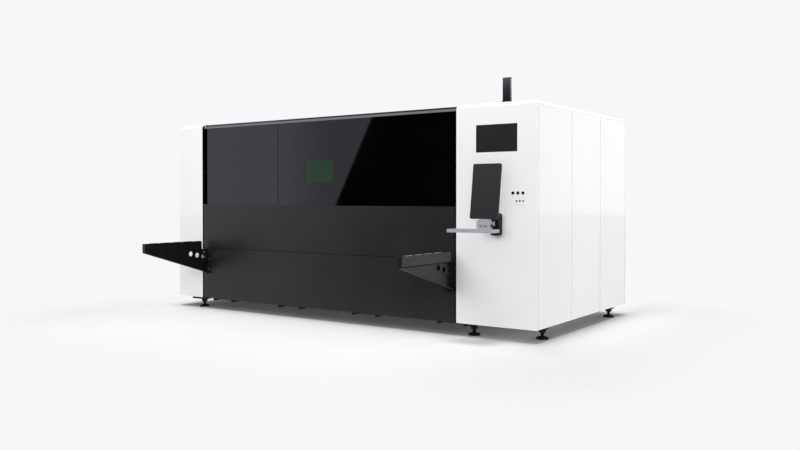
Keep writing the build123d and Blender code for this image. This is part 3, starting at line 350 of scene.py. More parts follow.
# %% [markdown]
# ## Black enamel and charcoal powder coat
# The upper band is black lacquer on flat sheet, nearly a mirror, and its sheen is a little cold. The
# door and the skirt below have a charcoal powder coat, so the same room only gives them a soft sheen.
# Both could be painted dark grey, but their base colours are close to black: what looks grey in the
# room is reflected white. The grain of the powder is about 1 mm and is drawn at 9 mm, so that it shows.

# %% Black enamel
black_enamel, tree, place = new_material("black_gloss_enamel")
drift = add_node(tree, "ShaderNodeTexNoise", {"Vector": place, "Scale": per_mm(350), "Detail": 2.0})
tone = add_node(tree, "ShaderNodeValToRGB", {"Fac": drift}, stops=((0.3, "#020203"), (0.7, "#040405")))
gloss = add_node(tree, "ShaderNodeMapRange", {"Value": drift, "To Min": 0.02, "To Max": 0.05})
skin = add_node(tree, "ShaderNodeBsdfPrincipled", {
    "Base Color": tone, "Roughness": gloss, "IOR": 1.57, "Specular Tint": linear("#F3F1FF")})
add_node(tree, "ShaderNodeOutputMaterial", {"Surface": skin})
print("made", black_enamel.name)

# %% Charcoal powder coat
charcoal_coat, tree, place = new_material("charcoal_powder_coat")
drift = add_node(tree, "ShaderNodeTexNoise", {"Vector": place, "Scale": per_mm(500), "Detail": 3.0})
tone = add_node(tree, "ShaderNodeValToRGB", {"Fac": drift}, stops=((0.3, "#1D1D1F"), (0.7, "#222225")))
gloss = add_node(tree, "ShaderNodeMapRange", {"Value": drift, "To Min": 0.34, "To Max": 0.42})
grain = add_node(tree, "ShaderNodeTexNoise", {"Vector": place, "Scale": per_mm(9), "Detail": 2.0})
relief = add_node(tree, "ShaderNodeBump", {"Height": grain, "Strength": 0.15, "Distance": 0.4 * mm})
skin = add_node(tree, "ShaderNodeBsdfPrincipled", {
    "Base Color": tone, "Roughness": gloss, "Normal": relief, "IOR": 1.5})
add_node(tree, "ShaderNodeOutputMaterial", {"Surface": skin})
print("made", charcoal_coat.name)

# %% [markdown]
# ## Satin black coat, black casting and rubber
# The arms are welded and folded parts with a tougher, rougher black coat. A coarser grain and a wider
# spread of gloss set them apart from the flat panels. The console bracket and the feet are sand
# castings under a thin matt paint, so they mirror less and stay darker. The window gasket is black
# rubber, which mirrors least of all, and so are the strips of painted shade along seams and edges.
# Grain and sand are finer in truth and are drawn at 4 to 5 mm, so that they show.

# %% Satin black coat
satin_black, tree, place = new_material("satin_black_coat")
grain = add_node(tree, "ShaderNodeTexNoise", {"Vector": place, "Scale": per_mm(5), "Detail": 3.0})
drift = add_node(tree, "ShaderNodeTexNoise", {"Vector": place, "Scale": per_mm(120), "Detail": 2.0})
tone = add_node(tree, "ShaderNodeValToRGB", {"Fac": drift}, stops=((0.3, "#121214"), (0.7, "#18181A")))
gloss = add_node(tree, "ShaderNodeMapRange", {"Value": grain, "To Min": 0.32, "To Max": 0.5})
relief = add_node(tree, "ShaderNodeBump", {"Height": grain, "Strength": 0.25, "Distance": 0.3 * mm})
skin = add_node(tree, "ShaderNodeBsdfPrincipled", {
    "Base Color": tone, "Roughness": gloss, "Normal": relief, "IOR": 1.5})
add_node(tree, "ShaderNodeOutputMaterial", {"Surface": skin})
print("made", satin_black.name)

# %% Matt black casting
black_casting, tree, place = new_material("matt_black_casting")
sand = add_node(tree, "ShaderNodeTexNoise", {"Vector": place, "Scale": per_mm(4), "Detail": 3.0})
tone = add_node(tree, "ShaderNodeValToRGB", {"Fac": sand}, stops=((0.3, "#0B0B0C"), (0.7, "#111113")))
gloss = add_node(tree, "ShaderNodeMapRange", {"Value": sand, "To Min": 0.45, "To Max": 0.62})
relief = add_node(tree, "ShaderNodeBump", {"Height": sand, "Strength": 0.3, "Distance": 0.3 * mm})
skin = add_node(tree, "ShaderNodeBsdfPrincipled", {
    "Base Color": tone, "Roughness": gloss, "Normal": relief, "Specular IOR Level": 0.25})
add_node(tree, "ShaderNodeOutputMaterial", {"Surface": skin})
print("made", black_casting.name)

# %% Black rubber
black_rubber, tree, place = new_material("black_rubber")
bloom = add_node(tree, "ShaderNodeTexNoise", {"Vector": place, "Scale": per_mm(25), "Detail": 2.0})
tone = add_node(tree, "ShaderNodeValToRGB", {"Fac": bloom}, stops=((0.3, "#040405"), (0.7, "#080809")))
gloss = add_node(tree, "ShaderNodeMapRange", {"Value": bloom, "To Min": 0.6, "To Max": 0.75})
skin = add_node(tree, "ShaderNodeBsdfPrincipled", {
    "Base Color": tone, "Roughness": gloss, "Specular IOR Level": 0.15})
add_node(tree, "ShaderNodeOutputMaterial", {"Surface": skin})
print("made", black_rubber.name)

# %% [markdown]
# ## Grey primer and grey satin coat
# The welded bed, the chamber and the table are primed grey and stay dull, with slag dust in the
# mottling. The console and the electrical housings have a finer, lighter satin coat. One grey could
# serve for both, but open doors show them side by side.

# %% Grey primer
grey_primer, tree, place = new_material("grey_primer")
dust = add_node(tree, "ShaderNodeTexNoise", {"Vector": place, "Scale": per_mm(90), "Detail": 4.0})
tone = add_node(tree, "ShaderNodeValToRGB", {"Fac": dust},
                stops=((0.25, "#5C5E61"), (0.6, "#6B6D70"), (0.8, "#747679")))
gloss = add_node(tree, "ShaderNodeMapRange", {"Value": dust, "To Min": 0.48, "To Max": 0.66})
relief = add_node(tree, "ShaderNodeBump", {"Height": dust, "Strength": 0.2, "Distance": 0.5 * mm})
skin = add_node(tree, "ShaderNodeBsdfPrincipled", {"Base Color": tone, "Roughness": gloss, "Normal": relief})
add_node(tree, "ShaderNodeOutputMaterial", {"Surface": skin})
print("made", grey_primer.name)

# %% Grey satin coat
grey_satin, tree, place = new_material("grey_satin_coat")
grain = add_node(tree, "ShaderNodeTexNoise", {"Vector": place, "Scale": per_mm(4), "Detail": 2.0})
drift = add_node(tree, "ShaderNodeTexNoise", {"Vector": place, "Scale": per_mm(200), "Detail": 2.0})
tone = add_node(tree, "ShaderNodeValToRGB", {"Fac": drift}, stops=((0.3, "#9C9CA0"), (0.7, "#A6A6AA")))
gloss = add_node(tree, "ShaderNodeMapRange", {"Value": drift, "To Min": 0.3, "To Max": 0.42})
relief = add_node(tree, "ShaderNodeBump", {"Height": grain, "Strength": 0.15, "Distance": 0.2 * mm})
skin = add_node(tree, "ShaderNodeBsdfPrincipled", {"Base Color": tone, "Roughness": gloss, "Normal": relief})
add_node(tree, "ShaderNodeOutputMaterial", {"Surface": skin})
print("made", grey_satin.name)

# %% [markdown]
# ## Metals
# Four bare metals are used: ground steel for rails and carriages, machined aluminium for the gantry,
# hot-rolled steel for the slats and copper for the nozzle. The strip over the front is aluminium too,
# but blasted and dyed grey in its oxide, so it looks like a dull paint with a brushed grain. A metal's
# colour is the colour of its reflection, so the work is in the roughness: long streaks from grinding,
# milling and turning, drawn a few millimetres wide where real ones are as fine as hair, and burnt
# blotches with brown and blue heat tint along the tips of the slats.

# %% Anodised strip
anodised_strip, tree, place = new_material("anodised_aluminium")
along = add_node(tree, "ShaderNodeMapping", {"Vector": place, "Scale": (per_mm(400), per_mm(3), per_mm(3))})
brush = add_node(tree, "ShaderNodeTexNoise", {"Vector": along, "Scale": 1.0, "Detail": 3.0})
tone = add_node(tree, "ShaderNodeValToRGB", {"Fac": brush}, stops=((0.3, "#5A5A5E"), (0.7, "#666669")))
gloss = add_node(tree, "ShaderNodeMapRange", {"Value": brush, "To Min": 0.5, "To Max": 0.62})
skin = add_node(tree, "ShaderNodeBsdfPrincipled", {
    "Base Color": tone, "Roughness": gloss, "Specular IOR Level": 0.3})
add_node(tree, "ShaderNodeOutputMaterial", {"Surface": skin})
print("made", anodised_strip.name)

# %% Ground, machined and turned metals
streaked = {}
for name, grain, detail, dark, pale, smooth, rough in (
        ("ground_steel", (60, 60, 2), 4.0, "#98989A", "#B2B2B4", 0.29, 0.42),
        ("machined_aluminium", (4, 150, 4), 3.0, "#B4B5B8", "#C6C7CA", 0.28, 0.46),
        ("turned_copper", (40, 40, 1.5), 2.0, "#A86B3F", "#C98A58", 0.18, 0.26)):
    streaked[name], tree, place = new_material(name)
    along = add_node(tree, "ShaderNodeMapping", {"Vector": place, "Scale": [per_mm(size) for size in grain]})
    streak = add_node(tree, "ShaderNodeTexNoise", {"Vector": along, "Scale": 1.0, "Detail": detail})
    tone = add_node(tree, "ShaderNodeValToRGB", {"Fac": streak}, stops=((0.3, dark), (0.7, pale)))
    gloss = add_node(tree, "ShaderNodeMapRange", {"Value": streak, "To Min": smooth, "To Max": rough})
    skin = add_node(tree, "ShaderNodeBsdfPrincipled", {
        "Base Color": tone, "Roughness": gloss, "Metallic": 1.0})
    add_node(tree, "ShaderNodeOutputMaterial", {"Surface": skin})
ground_steel, milled_alloy, turned_copper = streaked.values()
print("made", *streaked)

# %% Hot-rolled slats
slat_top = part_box("table_slats")[1].z
burnt_height = 30 * mm
hot_rolled, tree, place = new_material("hot_rolled_steel")
scale_skin = add_node(tree, "ShaderNodeTexNoise", {"Vector": place, "Scale": per_mm(35), "Detail": 5.0})
height = add_node(tree, "ShaderNodeSeparateXYZ", {"Vector": place}).outputs["Z"]
burn = add_node(tree, "ShaderNodeMapRange", {
    "Value": height, "From Min": slat_top - burnt_height, "From Max": slat_top,
    "To Min": -0.25, "To Max": 0.35})
heat = add_node(tree, "ShaderNodeMath", {0: burn, 1: scale_skin}, operation="ADD")
heat_tints = ((0.2, "#77787A"), (0.45, "#66645F"), (0.62, "#6E5A45"), (0.75, "#4A4E5A"), (0.9, "#3A3836"))
tone = add_node(tree, "ShaderNodeValToRGB", {"Fac": heat}, stops=heat_tints)
gloss = add_node(tree, "ShaderNodeMapRange", {"Value": scale_skin, "To Min": 0.4, "To Max": 0.7})
relief = add_node(tree, "ShaderNodeBump", {"Height": scale_skin, "Strength": 0.4, "Distance": 0.6 * mm})
skin = add_node(tree, "ShaderNodeBsdfPrincipled", {
    "Base Color": tone, "Roughness": gloss, "Normal": relief, "Metallic": 0.85})
add_node(tree, "ShaderNodeOutputMaterial", {"Surface": skin})
print("made", hot_rolled.name, "burnt up to", round(slat_top, 3))

# %% [markdown]
# ## Plastics and glass
# Slide pads are grey nylon. The tablet has a textured ABS shell, whose hinge tongue is sprayed in the
# grey of the neck below it and told apart by its height; the texture is finer in truth and drawn at
# 2.5 mm. Buttons and lamps are glossy mouldings, and the tower light is smoked acrylic, with a painted
# sheen that makes it paler towards its top. The viewing window is a green acrylic that stops the laser's
# light: it is nearly opaque, so only a little of it is transmissive. The screens are switched off: dark
# glass with a matt film against glare, which scatters a little light and makes them a warm charcoal and
# not black. The film of the tablet is a little lighter towards its top.

# %% Nylon and textured plastic
grey_nylon, tree, place = new_material("moulded_nylon")
rub = add_node(tree, "ShaderNodeTexNoise", {"Vector": place, "Scale": per_mm(15), "Detail": 3.0})
tone = add_node(tree, "ShaderNodeValToRGB", {"Fac": rub}, stops=((0.3, "#8E8E8B"), (0.7, "#9C9C99")))
gloss = add_node(tree, "ShaderNodeMapRange", {"Value": rub, "To Min": 0.35, "To Max": 0.55})
skin = add_node(tree, "ShaderNodeBsdfPrincipled", {"Base Color": tone, "Roughness": gloss, "IOR": 1.53})
add_node(tree, "ShaderNodeOutputMaterial", {"Surface": skin})

tongue_top = 1045 * mm
tablet_abs, tree, place = new_material("textured_abs")
leather = add_node(tree, "ShaderNodeTexNoise", {"Vector": place, "Scale": per_mm(2.5), "Detail": 2.0})
drift = add_node(tree, "ShaderNodeTexNoise", {"Vector": place, "Scale": per_mm(150)})
height = add_node(tree, "ShaderNodeSeparateXYZ", {"Vector": place}).outputs["Z"]
tongue = add_node(tree, "ShaderNodeMapRange", {
    "Value": height, "From Min": tongue_top + 0.5 * mm, "From Max": tongue_top - 0.5 * mm})
spray = add_node(tree, "ShaderNodeMath", {0: drift, 1: tongue}, operation="MAXIMUM")
tone = add_node(tree, "ShaderNodeValToRGB", {"Fac": spray},
                stops=((0.3, "#1C1C1E"), (0.7, "#232325"), (0.9, "#232325"), (1.0, "#A2A2A6")))
relief = add_node(tree, "ShaderNodeBump", {"Height": leather, "Strength": 0.2, "Distance": 0.2 * mm})
skin = add_node(tree, "ShaderNodeBsdfPrincipled", {
    "Base Color": tone, "Roughness": 0.42, "Normal": relief, "IOR": 1.52})
add_node(tree, "ShaderNodeOutputMaterial", {"Surface": skin})
print("made", grey_nylon.name, "and", tablet_abs.name)

# %% Gloss plastics
moulded = {}
for name, flow_size, dark, pale, smooth, rough in (
        ("gloss_black_plastic", 8, "#0C0C0D", "#121213", 0.14, 0.24),
        ("grey_lamp_plastic", 6, "#343437", "#3E3E41", 0.18, 0.26)):
    moulded[name], tree, place = new_material(name)
    flow = add_node(tree, "ShaderNodeTexNoise", {"Vector": place, "Scale": per_mm(flow_size)})
    tone = add_node(tree, "ShaderNodeValToRGB", {"Fac": flow}, stops=((0.3, dark), (0.7, pale)))
    gloss = add_node(tree, "ShaderNodeMapRange", {"Value": flow, "To Min": smooth, "To Max": rough})
    skin = add_node(tree, "ShaderNodeBsdfPrincipled", {"Base Color": tone, "Roughness": gloss, "IOR": 1.5})
    add_node(tree, "ShaderNodeOutputMaterial", {"Surface": skin})
button_plastic, lamp_plastic = moulded.values()

lens_low, lens_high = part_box("tower_lamp")
smoked_acrylic, tree, place = new_material("smoked_acrylic")
height = add_node(tree, "ShaderNodeSeparateXYZ", {"Vector": place}).outputs["Z"]
# Painted sheen: the lens is made paler towards its top, standing in for the reflection of the ceiling.
painted_sheen = add_node(tree, "ShaderNodeMapRange", {
    "Value": height, "From Min": lens_low.z, "From Max": lens_high.z})
flow = add_node(tree, "ShaderNodeTexNoise", {"Vector": place, "Scale": per_mm(60)})
tone = add_node(tree, "ShaderNodeValToRGB", {"Fac": painted_sheen},
                stops=((0.1, "#1C1C1E"), (0.55, "#2E2E31"), (0.95, "#4C4C50")))
gloss = add_node(tree, "ShaderNodeMapRange", {"Value": flow, "To Min": 0.1, "To Max": 0.18})
skin = add_node(tree, "ShaderNodeBsdfPrincipled", {"Base Color": tone, "Roughness": gloss, "IOR": 1.49})
add_node(tree, "ShaderNodeOutputMaterial", {"Surface": skin})
print("made", button_plastic.name, lamp_plastic.name, smoked_acrylic.name)

# %% Window and screens
green_acrylic, tree, place = new_material("green_filter_acrylic")
cloud = add_node(tree, "ShaderNodeTexNoise", {"Vector": place, "Scale": per_mm(180), "Detail": 2.0})
tone = add_node(tree, "ShaderNodeValToRGB", {"Fac": cloud}, stops=((0.3, "#12301B"), (0.7, "#173820")))
gloss = add_node(tree, "ShaderNodeMapRange", {"Value": cloud, "To Min": 0.04, "To Max": 0.09})
skin = add_node(tree, "ShaderNodeBsdfPrincipled", {
    "Base Color": tone, "Roughness": gloss,
    "IOR": 1.49, "Specular IOR Level": 0.3, "Transmission Weight": 0.15})
add_node(tree, "ShaderNodeOutputMaterial", {"Surface": skin})

display_glass, tree, place = new_material("matt_display_glass")
smear = add_node(tree, "ShaderNodeTexNoise", {"Vector": place, "Scale": per_mm(70), "Detail": 3.0})
tone = add_node(tree, "ShaderNodeValToRGB", {"Fac": smear}, stops=((0.3, "#1D1D1F"), (0.7, "#202022")))
gloss = add_node(tree, "ShaderNodeMapRange", {"Value": smear, "To Min": 0.3, "To Max": 0.4})
skin = add_node(tree, "ShaderNodeBsdfPrincipled", {"Base Color": tone, "Roughness": gloss, "IOR": 1.5})
add_node(tree, "ShaderNodeOutputMaterial", {"Surface": skin})

glass_low, glass_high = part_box("tablet_screen")
tablet_glass, tree, place = new_material("matt_tablet_glass")
height = add_node(tree, "ShaderNodeSeparateXYZ", {"Vector": place}).outputs["Z"]
lift = add_node(tree, "ShaderNodeMapRange", {
    "Value": height, "From Min": glass_low.z, "From Max": glass_high.z})
smear = add_node(tree, "ShaderNodeTexNoise", {"Vector": place, "Scale": per_mm(120), "Detail": 1.0})
tone = add_node(tree, "ShaderNodeValToRGB", {"Fac": lift}, stops=((0.0, "#262628"), (1.0, "#2A2A2C")))
gloss = add_node(tree, "ShaderNodeMapRange", {"Value": smear, "To Min": 0.3, "To Max": 0.36})
skin = add_node(tree, "ShaderNodeBsdfPrincipled", {"Base Color": tone, "Roughness": gloss, "IOR": 1.5})
add_node(tree, "ShaderNodeOutputMaterial", {"Surface": skin})
print("made", green_acrylic.name, display_glass.name, tablet_glass.name)

# %% [markdown]
# ## Dressing the solids
# The record names one slot for each solid. A table from slot to finish dresses nearly all of them. A
# second table holds the exceptions, such as the upper panels, which are lacquered where the rest of
# the black front is powder coated, and the castings among the black parts.

# %% Assign the finishes
finishes = {
    "white_paint": white_coat, "black_paint": charcoal_coat, "dark_paint": satin_black,
    "grey_strip": anodised_strip, "bed_paint": grey_primer, "bare_steel": ground_steel,
    "slat_steel": hot_rolled, "cast_alloy": milled_alloy, "copper_alloy": turned_copper,
    "nylon": grey_nylon, "green_glass": green_acrylic, "dark_glass": display_glass,
    "tablet_shell": tablet_abs, "console_grey": grey_satin, "button_black": button_plastic,
    "lamp_grey": lamp_plastic, "tower_smoke": smoked_acrylic, "motor_black": satin_black,
}
own_finish = {
    "upper_left_panel": black_enamel, "upper_right_panel": black_enamel, "door_guides": black_enamel,
    "tablet_screen": tablet_glass, "console_bracket": black_casting, "levelling_feet": black_casting,
    "foot_sockets": black_casting, "cross_channels": black_casting,
}
for entry in frame["record"]["subparts"]:
    solid = nodes[entry["node"]]
    finish = own_finish.get(entry["node"], finishes[entry["material_slot"]])
    solid.material_slots[0].material = finish

# %% [markdown]
# ## Small parts that are screwed on
# Bolts, nuts, rims and gaskets are what the eye takes for scale on a large machine. Turned parts are
# made as on a lathe: half of the section is drawn as a line, in millimetres, and spun about its axis.
# Six steps in place of many give a hexagon. Frames start as one face, which is inset and drawn out.
# All of them are placed from the boxes of the solids that carry them, except the places of the feet in
# plan, which are listed.

# %% Helpers for small parts
def finish_piece(name, bm, finish, body):
    """Makes a piece from a bmesh, with its finish, and lets it ride on a body."""
    mesh = bpy.data.meshes.new(name)
    bm.to_mesh(mesh)
    bm.free()
    mesh.materials.append(finish)
    piece = bpy.data.objects.new(name, mesh)
    scene.collection.objects.link(piece)
    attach(piece, body)
    print(name, "has", len(mesh.polygons), "faces and rides on", body)


def turned(bm, outline, matrix, steps=24, closed=False):
    """Spins a line of (radius, height) points in mm once about Z, then places the result."""
    before = set(bm.verts)
    points = [bm.verts.new((radius * mm, 0.0, height * mm)) for radius, height in outline]
    loop = points + points[:1] if closed else points
    edges = [bm.edges.new(pair) for pair in zip(loop, loop[1:])]
    bmesh.ops.spin(bm, geom=points + edges, cent=(0, 0, 0), axis=(0, 0, 1), angle=2 * pi, steps=steps,
                   use_merge=True)
    bmesh.ops.remove_doubles(bm, verts=[v for v in bm.verts if v not in before], dist=1e-6)
    made = [v for v in bm.verts if v not in before]
    bmesh.ops.recalc_face_normals(bm, faces=list({face for v in made for face in v.link_faces}))
    bmesh.ops.transform(bm, matrix=matrix, verts=made)


def round_edges(bm, edges, offset, segments=2):
    """Bevels edges to a round."""
    bmesh.ops.bevel(bm, geom=edges, offset=offset, offset_type="OFFSET", segments=segments, profile=0.5,
                    affect="EDGES", material=-1)


def plate(bm, low, high, edge, segments=2):
    """Adds a block between two corners with its edges rounded."""
    size = Vector(high) - Vector(low)
    middle = Matrix.Translation((Vector(high) + Vector(low)) / 2)
    verts = bmesh.ops.create_cube(bm, size=1.0, matrix=middle @ Matrix.Diagonal((*size, 1.0)))["verts"]
    round_edges(bm, list({e for v in verts for e in v.link_edges}), edge, segments)


def raise_faces(bm, faces, offset):
    """Gives flat faces a thickness: a copy is drawn out by an offset and the walls are closed."""
    raised = bmesh.ops.extrude_face_region(bm, geom=faces, use_keep_orig=True)["geom"]
    verts = [v for v in raised if isinstance(v, bmesh.types.BMVert)]
    bmesh.ops.translate(bm, vec=offset, verts=verts)


def flat_frame(bm, x, z, y, width, depth):
    """Adds a rectangular lip on a wall that faces the front, depth proud of y. The width has no
    effect as yet: the new face has no normal when it is inset, so the inset stays closed."""
    before = set(bm.faces)
    corners = ((x[0], z[0]), (x[1], z[0]), (x[1], z[1]), (x[0], z[1]))
    face = bm.faces.new([bm.verts.new((cx, y, cz)) for cx, cz in corners])
    bmesh.ops.inset_region(bm, faces=[face], thickness=width, use_boundary=True, use_even_offset=True)
    bmesh.ops.delete(bm, geom=[face], context="FACES")
    raise_faces(bm, [f for f in bm.faces if f not in before], (0, -depth, 0))
    made = [f for f in bm.faces if f not in before]
    bmesh.ops.recalc_face_normals(bm, faces=made)
    edges = {e for f in made for e in f.edges}
    round_edges(bm, [e for e in edges if all(v.co.y < y - depth / 2 for v in e.verts)], depth / 3)


to_front = Matrix.Rotation(radians(90), 4, "X")
to_right = Matrix.Rotation(radians(90), 4, "Y")
to_left = Matrix.Rotation(radians(-90), 4, "Y")
print("helpers ready")

# %% [markdown]
# ### Bolts, rims, plugs and trim of the support arms
# Each arm hangs on three bolts with washers, beside its gusset. The round holes that lighten the web
# have a moulded rim on both faces, and the free edge of the outer flange carries a black rubber strip
# of painted shade, the dark line under that edge. The rim is a half-round section spun about the axis
# of the hole. On the operator's side black plugs fill the holes as painted shade, for the dark inside
# of the arm: the one at the wall is a flat plug, the other two are deep cups, which look dark also
# because little light gets into them.

# %% Arm bolts
arm_low, arm_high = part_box("support_arm_left")
right_low, right_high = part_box("support_arm_right")
arm_root = arm_high.y - 8 * mm
bolt_rises = (48, 158, 238)
screw_drops = (174, 124)
washer = [(0, 0), (12, 0), (12, 2), (0, 2)]
hexagon = [(0, 2), (10.5, 2), (10.5, 9), (9, 10), (0, 10)]
button_head = [(0, 0), (14, 0), (14, 2), (11, 6), (5, 8), (5, 5), (0, 5)]
bm = bmesh.new()
for edge_x, inwards in ((arm_high.x, -mm), (right_low.x, mm)):
    for rise in bolt_rises:
        seat = Matrix.Translation((edge_x + 12.5 * inwards, arm_root, arm_low.z + rise * mm)) @ to_front
        turned(bm, washer, seat)
        turned(bm, hexagon, seat, steps=6)
    for drop in screw_drops:
        seat = Matrix.Translation((edge_x + 45 * inwards, arm_root - 44 * mm, arm_high.z - drop * mm))
        turned(bm, button_head, seat @ to_front)
finish_piece("arm_bolts", bm, ground_steel, "machine_frame")

# %% Hole rims
hole_places = [(arm_high.y - (38 + 90 * hole) * mm, arm_high.z - (173 - 19 * hole) * mm)
               for hole in range(3)]
web_near, web_far = 34 * mm, 40 * mm
hole_rim = [(26.5, 0), (33, 0), (32, 2), (29.5, 3), (27, 2)]
bm = bmesh.new()
for y, z in hole_places:
    for x, turn in ((arm_low.x + web_far, to_right), (arm_low.x + web_near, to_left),
                    (right_high.x - web_far, to_left), (right_high.x - web_near, to_right)):
        turned(bm, hole_rim, Matrix.Translation((x, y, z)) @ turn, steps=28, closed=True)
finish_piece("arm_hole_rims", bm, lamp_plastic, "machine_frame")

# %% Plugs of painted shade
# Painted shade: black plugs fill the right arm's holes and stand in for the dark inside of the arm.
flat_shade_plug = [(0, 0), (25.8, 0), (25.8, 3), (22, 4), (0, 4)]
cup = [(0, 0), (28, 0), (29, 1), (29, 12), (26.5, 12), (26, 3), (0, 3)]
bm = bmesh.new()
for (y, z), (plug, sunk) in zip(hole_places, ((flat_shade_plug, 39), (cup, 55.2), (cup, 55.2))):
    turned(bm, plug, Matrix.Translation((right_high.x - sunk * mm, y, z)) @ to_right, steps=28)
finish_piece("arm_hole_shade_plugs", bm, black_casting, "machine_frame")

# %% Edge trim
# Painted shade: a black strip along the free edge of each outer flange draws the dark line under that edge.
trim_low, trim_high = arm_high.z - 92 * mm, arm_high.z - 84 * mm
bm = bmesh.new()
for x in ((arm_low.x - 1 * mm, arm_low.x + 7.5 * mm), (right_high.x - 7.5 * mm, right_high.x + 1 * mm)):
    plate(bm, (x[0], arm_low.y + 7 * mm, trim_low), (x[1], arm_high.y - 65 * mm, trim_high), 1.5 * mm)
finish_piece("arm_edge_shade_strip", bm, black_rubber, "machine_frame")

# %% [markdown]
# ### Threads and lock nuts of the feet
# A levelling foot is screwed up or down and then locked with a thin nut under its socket. A true thread
# is a helix; a saw-tooth line spun about the stud looks the same from here. It is a sleeve with open
# ends, so the recalculated normals can't tell its outside and point to the stud. Six steps of the same
# spin give the nut.

# %% Foot threads and nuts
stud_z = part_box("foot_sockets")[0].z
pitch = 3.5
turns = 8
thread = [(15.2 if step % 2 else 13.8, step * pitch / 2) for step in range(2 * turns - 4)]
nut = [(14, 0), (19, 0), (21, 1.5), (21, 6), (19, 7.5), (14, 7.5)]
feet = [(-1902, -591), (-1902, 1417), (1568, -559), (1568, 1385), (2154, -401), (2154, 1199)]
bm = bmesh.new()
for x, y in feet:
    for outline, drop, steps, closed in ((thread, turns * pitch, 16, False), (nut, 7.6, 6, True)):
        turned(bm, outline, Matrix.Translation((x * mm, y * mm, stud_z - drop * mm)), steps, closed)
finish_piece("foot_threads", bm, black_casting, "machine_frame")

# %% [markdown]
# ### Strips of painted shade, gasket and bezel
# A black rubber strip lines the side of the recess as painted shade: it covers the column's white
# return, which would shine through the gap beside the lift door, and stands for the shade in that gap.
# It is cut from sheet, so its outline is drawn once and given a thickness. Thin black rubber strips stand
# at both ends of the lift door and of the skirt, and one covers the seam of the upper panels; each is
# painted shade that draws the dark line that a real seam shows. They are plain strips. The window
# has a gasket and the display a bezel inside its cut-out. Both are meant as flat frames: one face,
# inset, raised and rounded in front. As they stand they are only thin lips, because a new face has no
# normal to be inset by; face.normal_update() before the inset would give them their width.

# %% Recess strip of painted shade
panel_low, panel_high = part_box("upper_right_panel")
column_low, column_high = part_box("left_column_cover")
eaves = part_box("cabinet_roof")[0].z
foot = panel_low.z + 4 * mm
crest = eaves + 19 * mm
shoulder = column_low.y + 23 * mm
# Painted shade: a black strip on the column's white return stands in for the shade in the gap beside the
# lift door.
shade_strip_front = column_low.y + 1 * mm
panel_face = panel_low.y - 1 * mm
profile = [(shade_strip_front, foot), (shade_strip_front, eaves - 3 * mm), (shoulder, crest), (panel_face, crest),
           (panel_face, panel_high.z), (panel_high.y, panel_high.z), (panel_high.y, foot)]
bm = bmesh.new()
side = bm.faces.new([bm.verts.new((column_high.x, y, z)) for y, z in profile])
raise_faces(bm, [side], (1.2 * mm, 0, 0))
bmesh.ops.recalc_face_normals(bm, faces=bm.faces)
finish_piece("recess_shade_strip", bm, black_rubber, "machine_frame")

# %% Edge and seam strips of painted shade
# Painted shade: black strips at the ends of the lift door and skirt, and on the seam of the upper panels,
# draw the dark line of shade in each seam.
lip = 12.8 * mm
for name, body in (("lift_door", "front_lift_door"), ("front_skirt", "machine_frame")):
    sheet_low, sheet_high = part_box(name)
    bm = bmesh.new()
    for x in ((sheet_low.x, sheet_low.x + lip), (sheet_high.x - lip, sheet_high.x)):
        plate(bm, (x[0], sheet_low.y - 1 * mm, sheet_low.z + 1 * mm),
              (x[1], sheet_low.y, sheet_high.z - 1 * mm), 0.3 * mm, 1)
    finish_piece(name + "_edge_shade_strips", bm, black_rubber, body)

seam_x = (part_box("upper_left_panel")[1].x + panel_low.x) / 2
half_width = 3.5 * mm
bm = bmesh.new()
plate(bm, (seam_x - half_width, panel_low.y - 0.8 * mm, panel_low.z + 2 * mm),
      (seam_x + half_width, panel_low.y, panel_high.z - 2 * mm), 0.3 * mm, 1)
finish_piece("panel_seam_shade_strip", bm, black_rubber, "machine_frame")

# %% Gasket and bezel
window_low, window_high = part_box("viewing_window")
lap = 6 * mm
bm = bmesh.new()
flat_frame(bm, (window_low.x + lap, window_high.x - lap), (window_low.z + lap, window_high.z - lap),
           panel_low.y, 8 * mm, 1.6 * mm)
finish_piece("window_gasket", bm, black_rubber, "machine_frame")

screen_low, screen_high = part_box("display_screen")
lap = 15 * mm
bm = bmesh.new()
flat_frame(bm, (screen_low.x + lap, screen_high.x - lap), (screen_low.z + lap, screen_high.z - lap),
           screen_low.y, 7 * mm, 1.4 * mm)
finish_piece("display_bezel", bm, tablet_abs, "machine_frame")

# %% [markdown]
# ### White strips in the door seams
# Doors that are turned on a pivot need a wide seam. A white strip on the closing edge of each door and
# one beside the first hinge leave half of it open, so the side looks like one wall. The strips are
# only 4 mm deep, because the hinge corner of the next door swings past further in.

# %% Seam strips
strip_depth = (0.5 * mm, 4 * mm)
strip_width = 3.5 * mm
doors = ("front", "middle", "rear")
strips = [(door + "_seam_strip", "side_door_" + door, door + "_side_door") for door in doors]
for name, carrier, body in strips + [("corner_seam_strip", "cabinet_front_panel", "machine_frame")]:
    wall_low, wall_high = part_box(carrier)
    bm = bmesh.new()
    plate(bm, (wall_high.x - strip_depth[1], wall_high.y, wall_low.z + 3 * mm),
          (wall_high.x - strip_depth[0], wall_high.y + strip_width, wall_high.z - 3 * mm), 0.5 * mm)
    finish_piece(name, bm, white_coat, body)

# %% [markdown]
# ### Fittings of the console
# The port block of the console has two sockets, each with a collar and a contact tongue. A clamp knob
# at its end fixes the swivel. The knob is turned, with grip ribs from a coarse spin of ten steps.

# %% Sockets and knob
neck_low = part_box("console_neck")[0]
z = neck_low.z + 25 * mm
bm = bmesh.new()
for x in (neck_low.x + 43 * mm, neck_low.x + 86 * mm):
    flat_frame(bm, (x - 15 * mm, x + 15 * mm), (z - 11 * mm, z + 11 * mm), neck_low.y, 3.5 * mm, 1.5 * mm)
    plate(bm, (x - 8 * mm, neck_low.y + 1 * mm, z - 2 * mm),
          (x + 8 * mm, neck_low.y + 5 * mm, z + 2 * mm), 0.5 * mm)
finish_piece("port_sockets", bm, black_casting, "console")

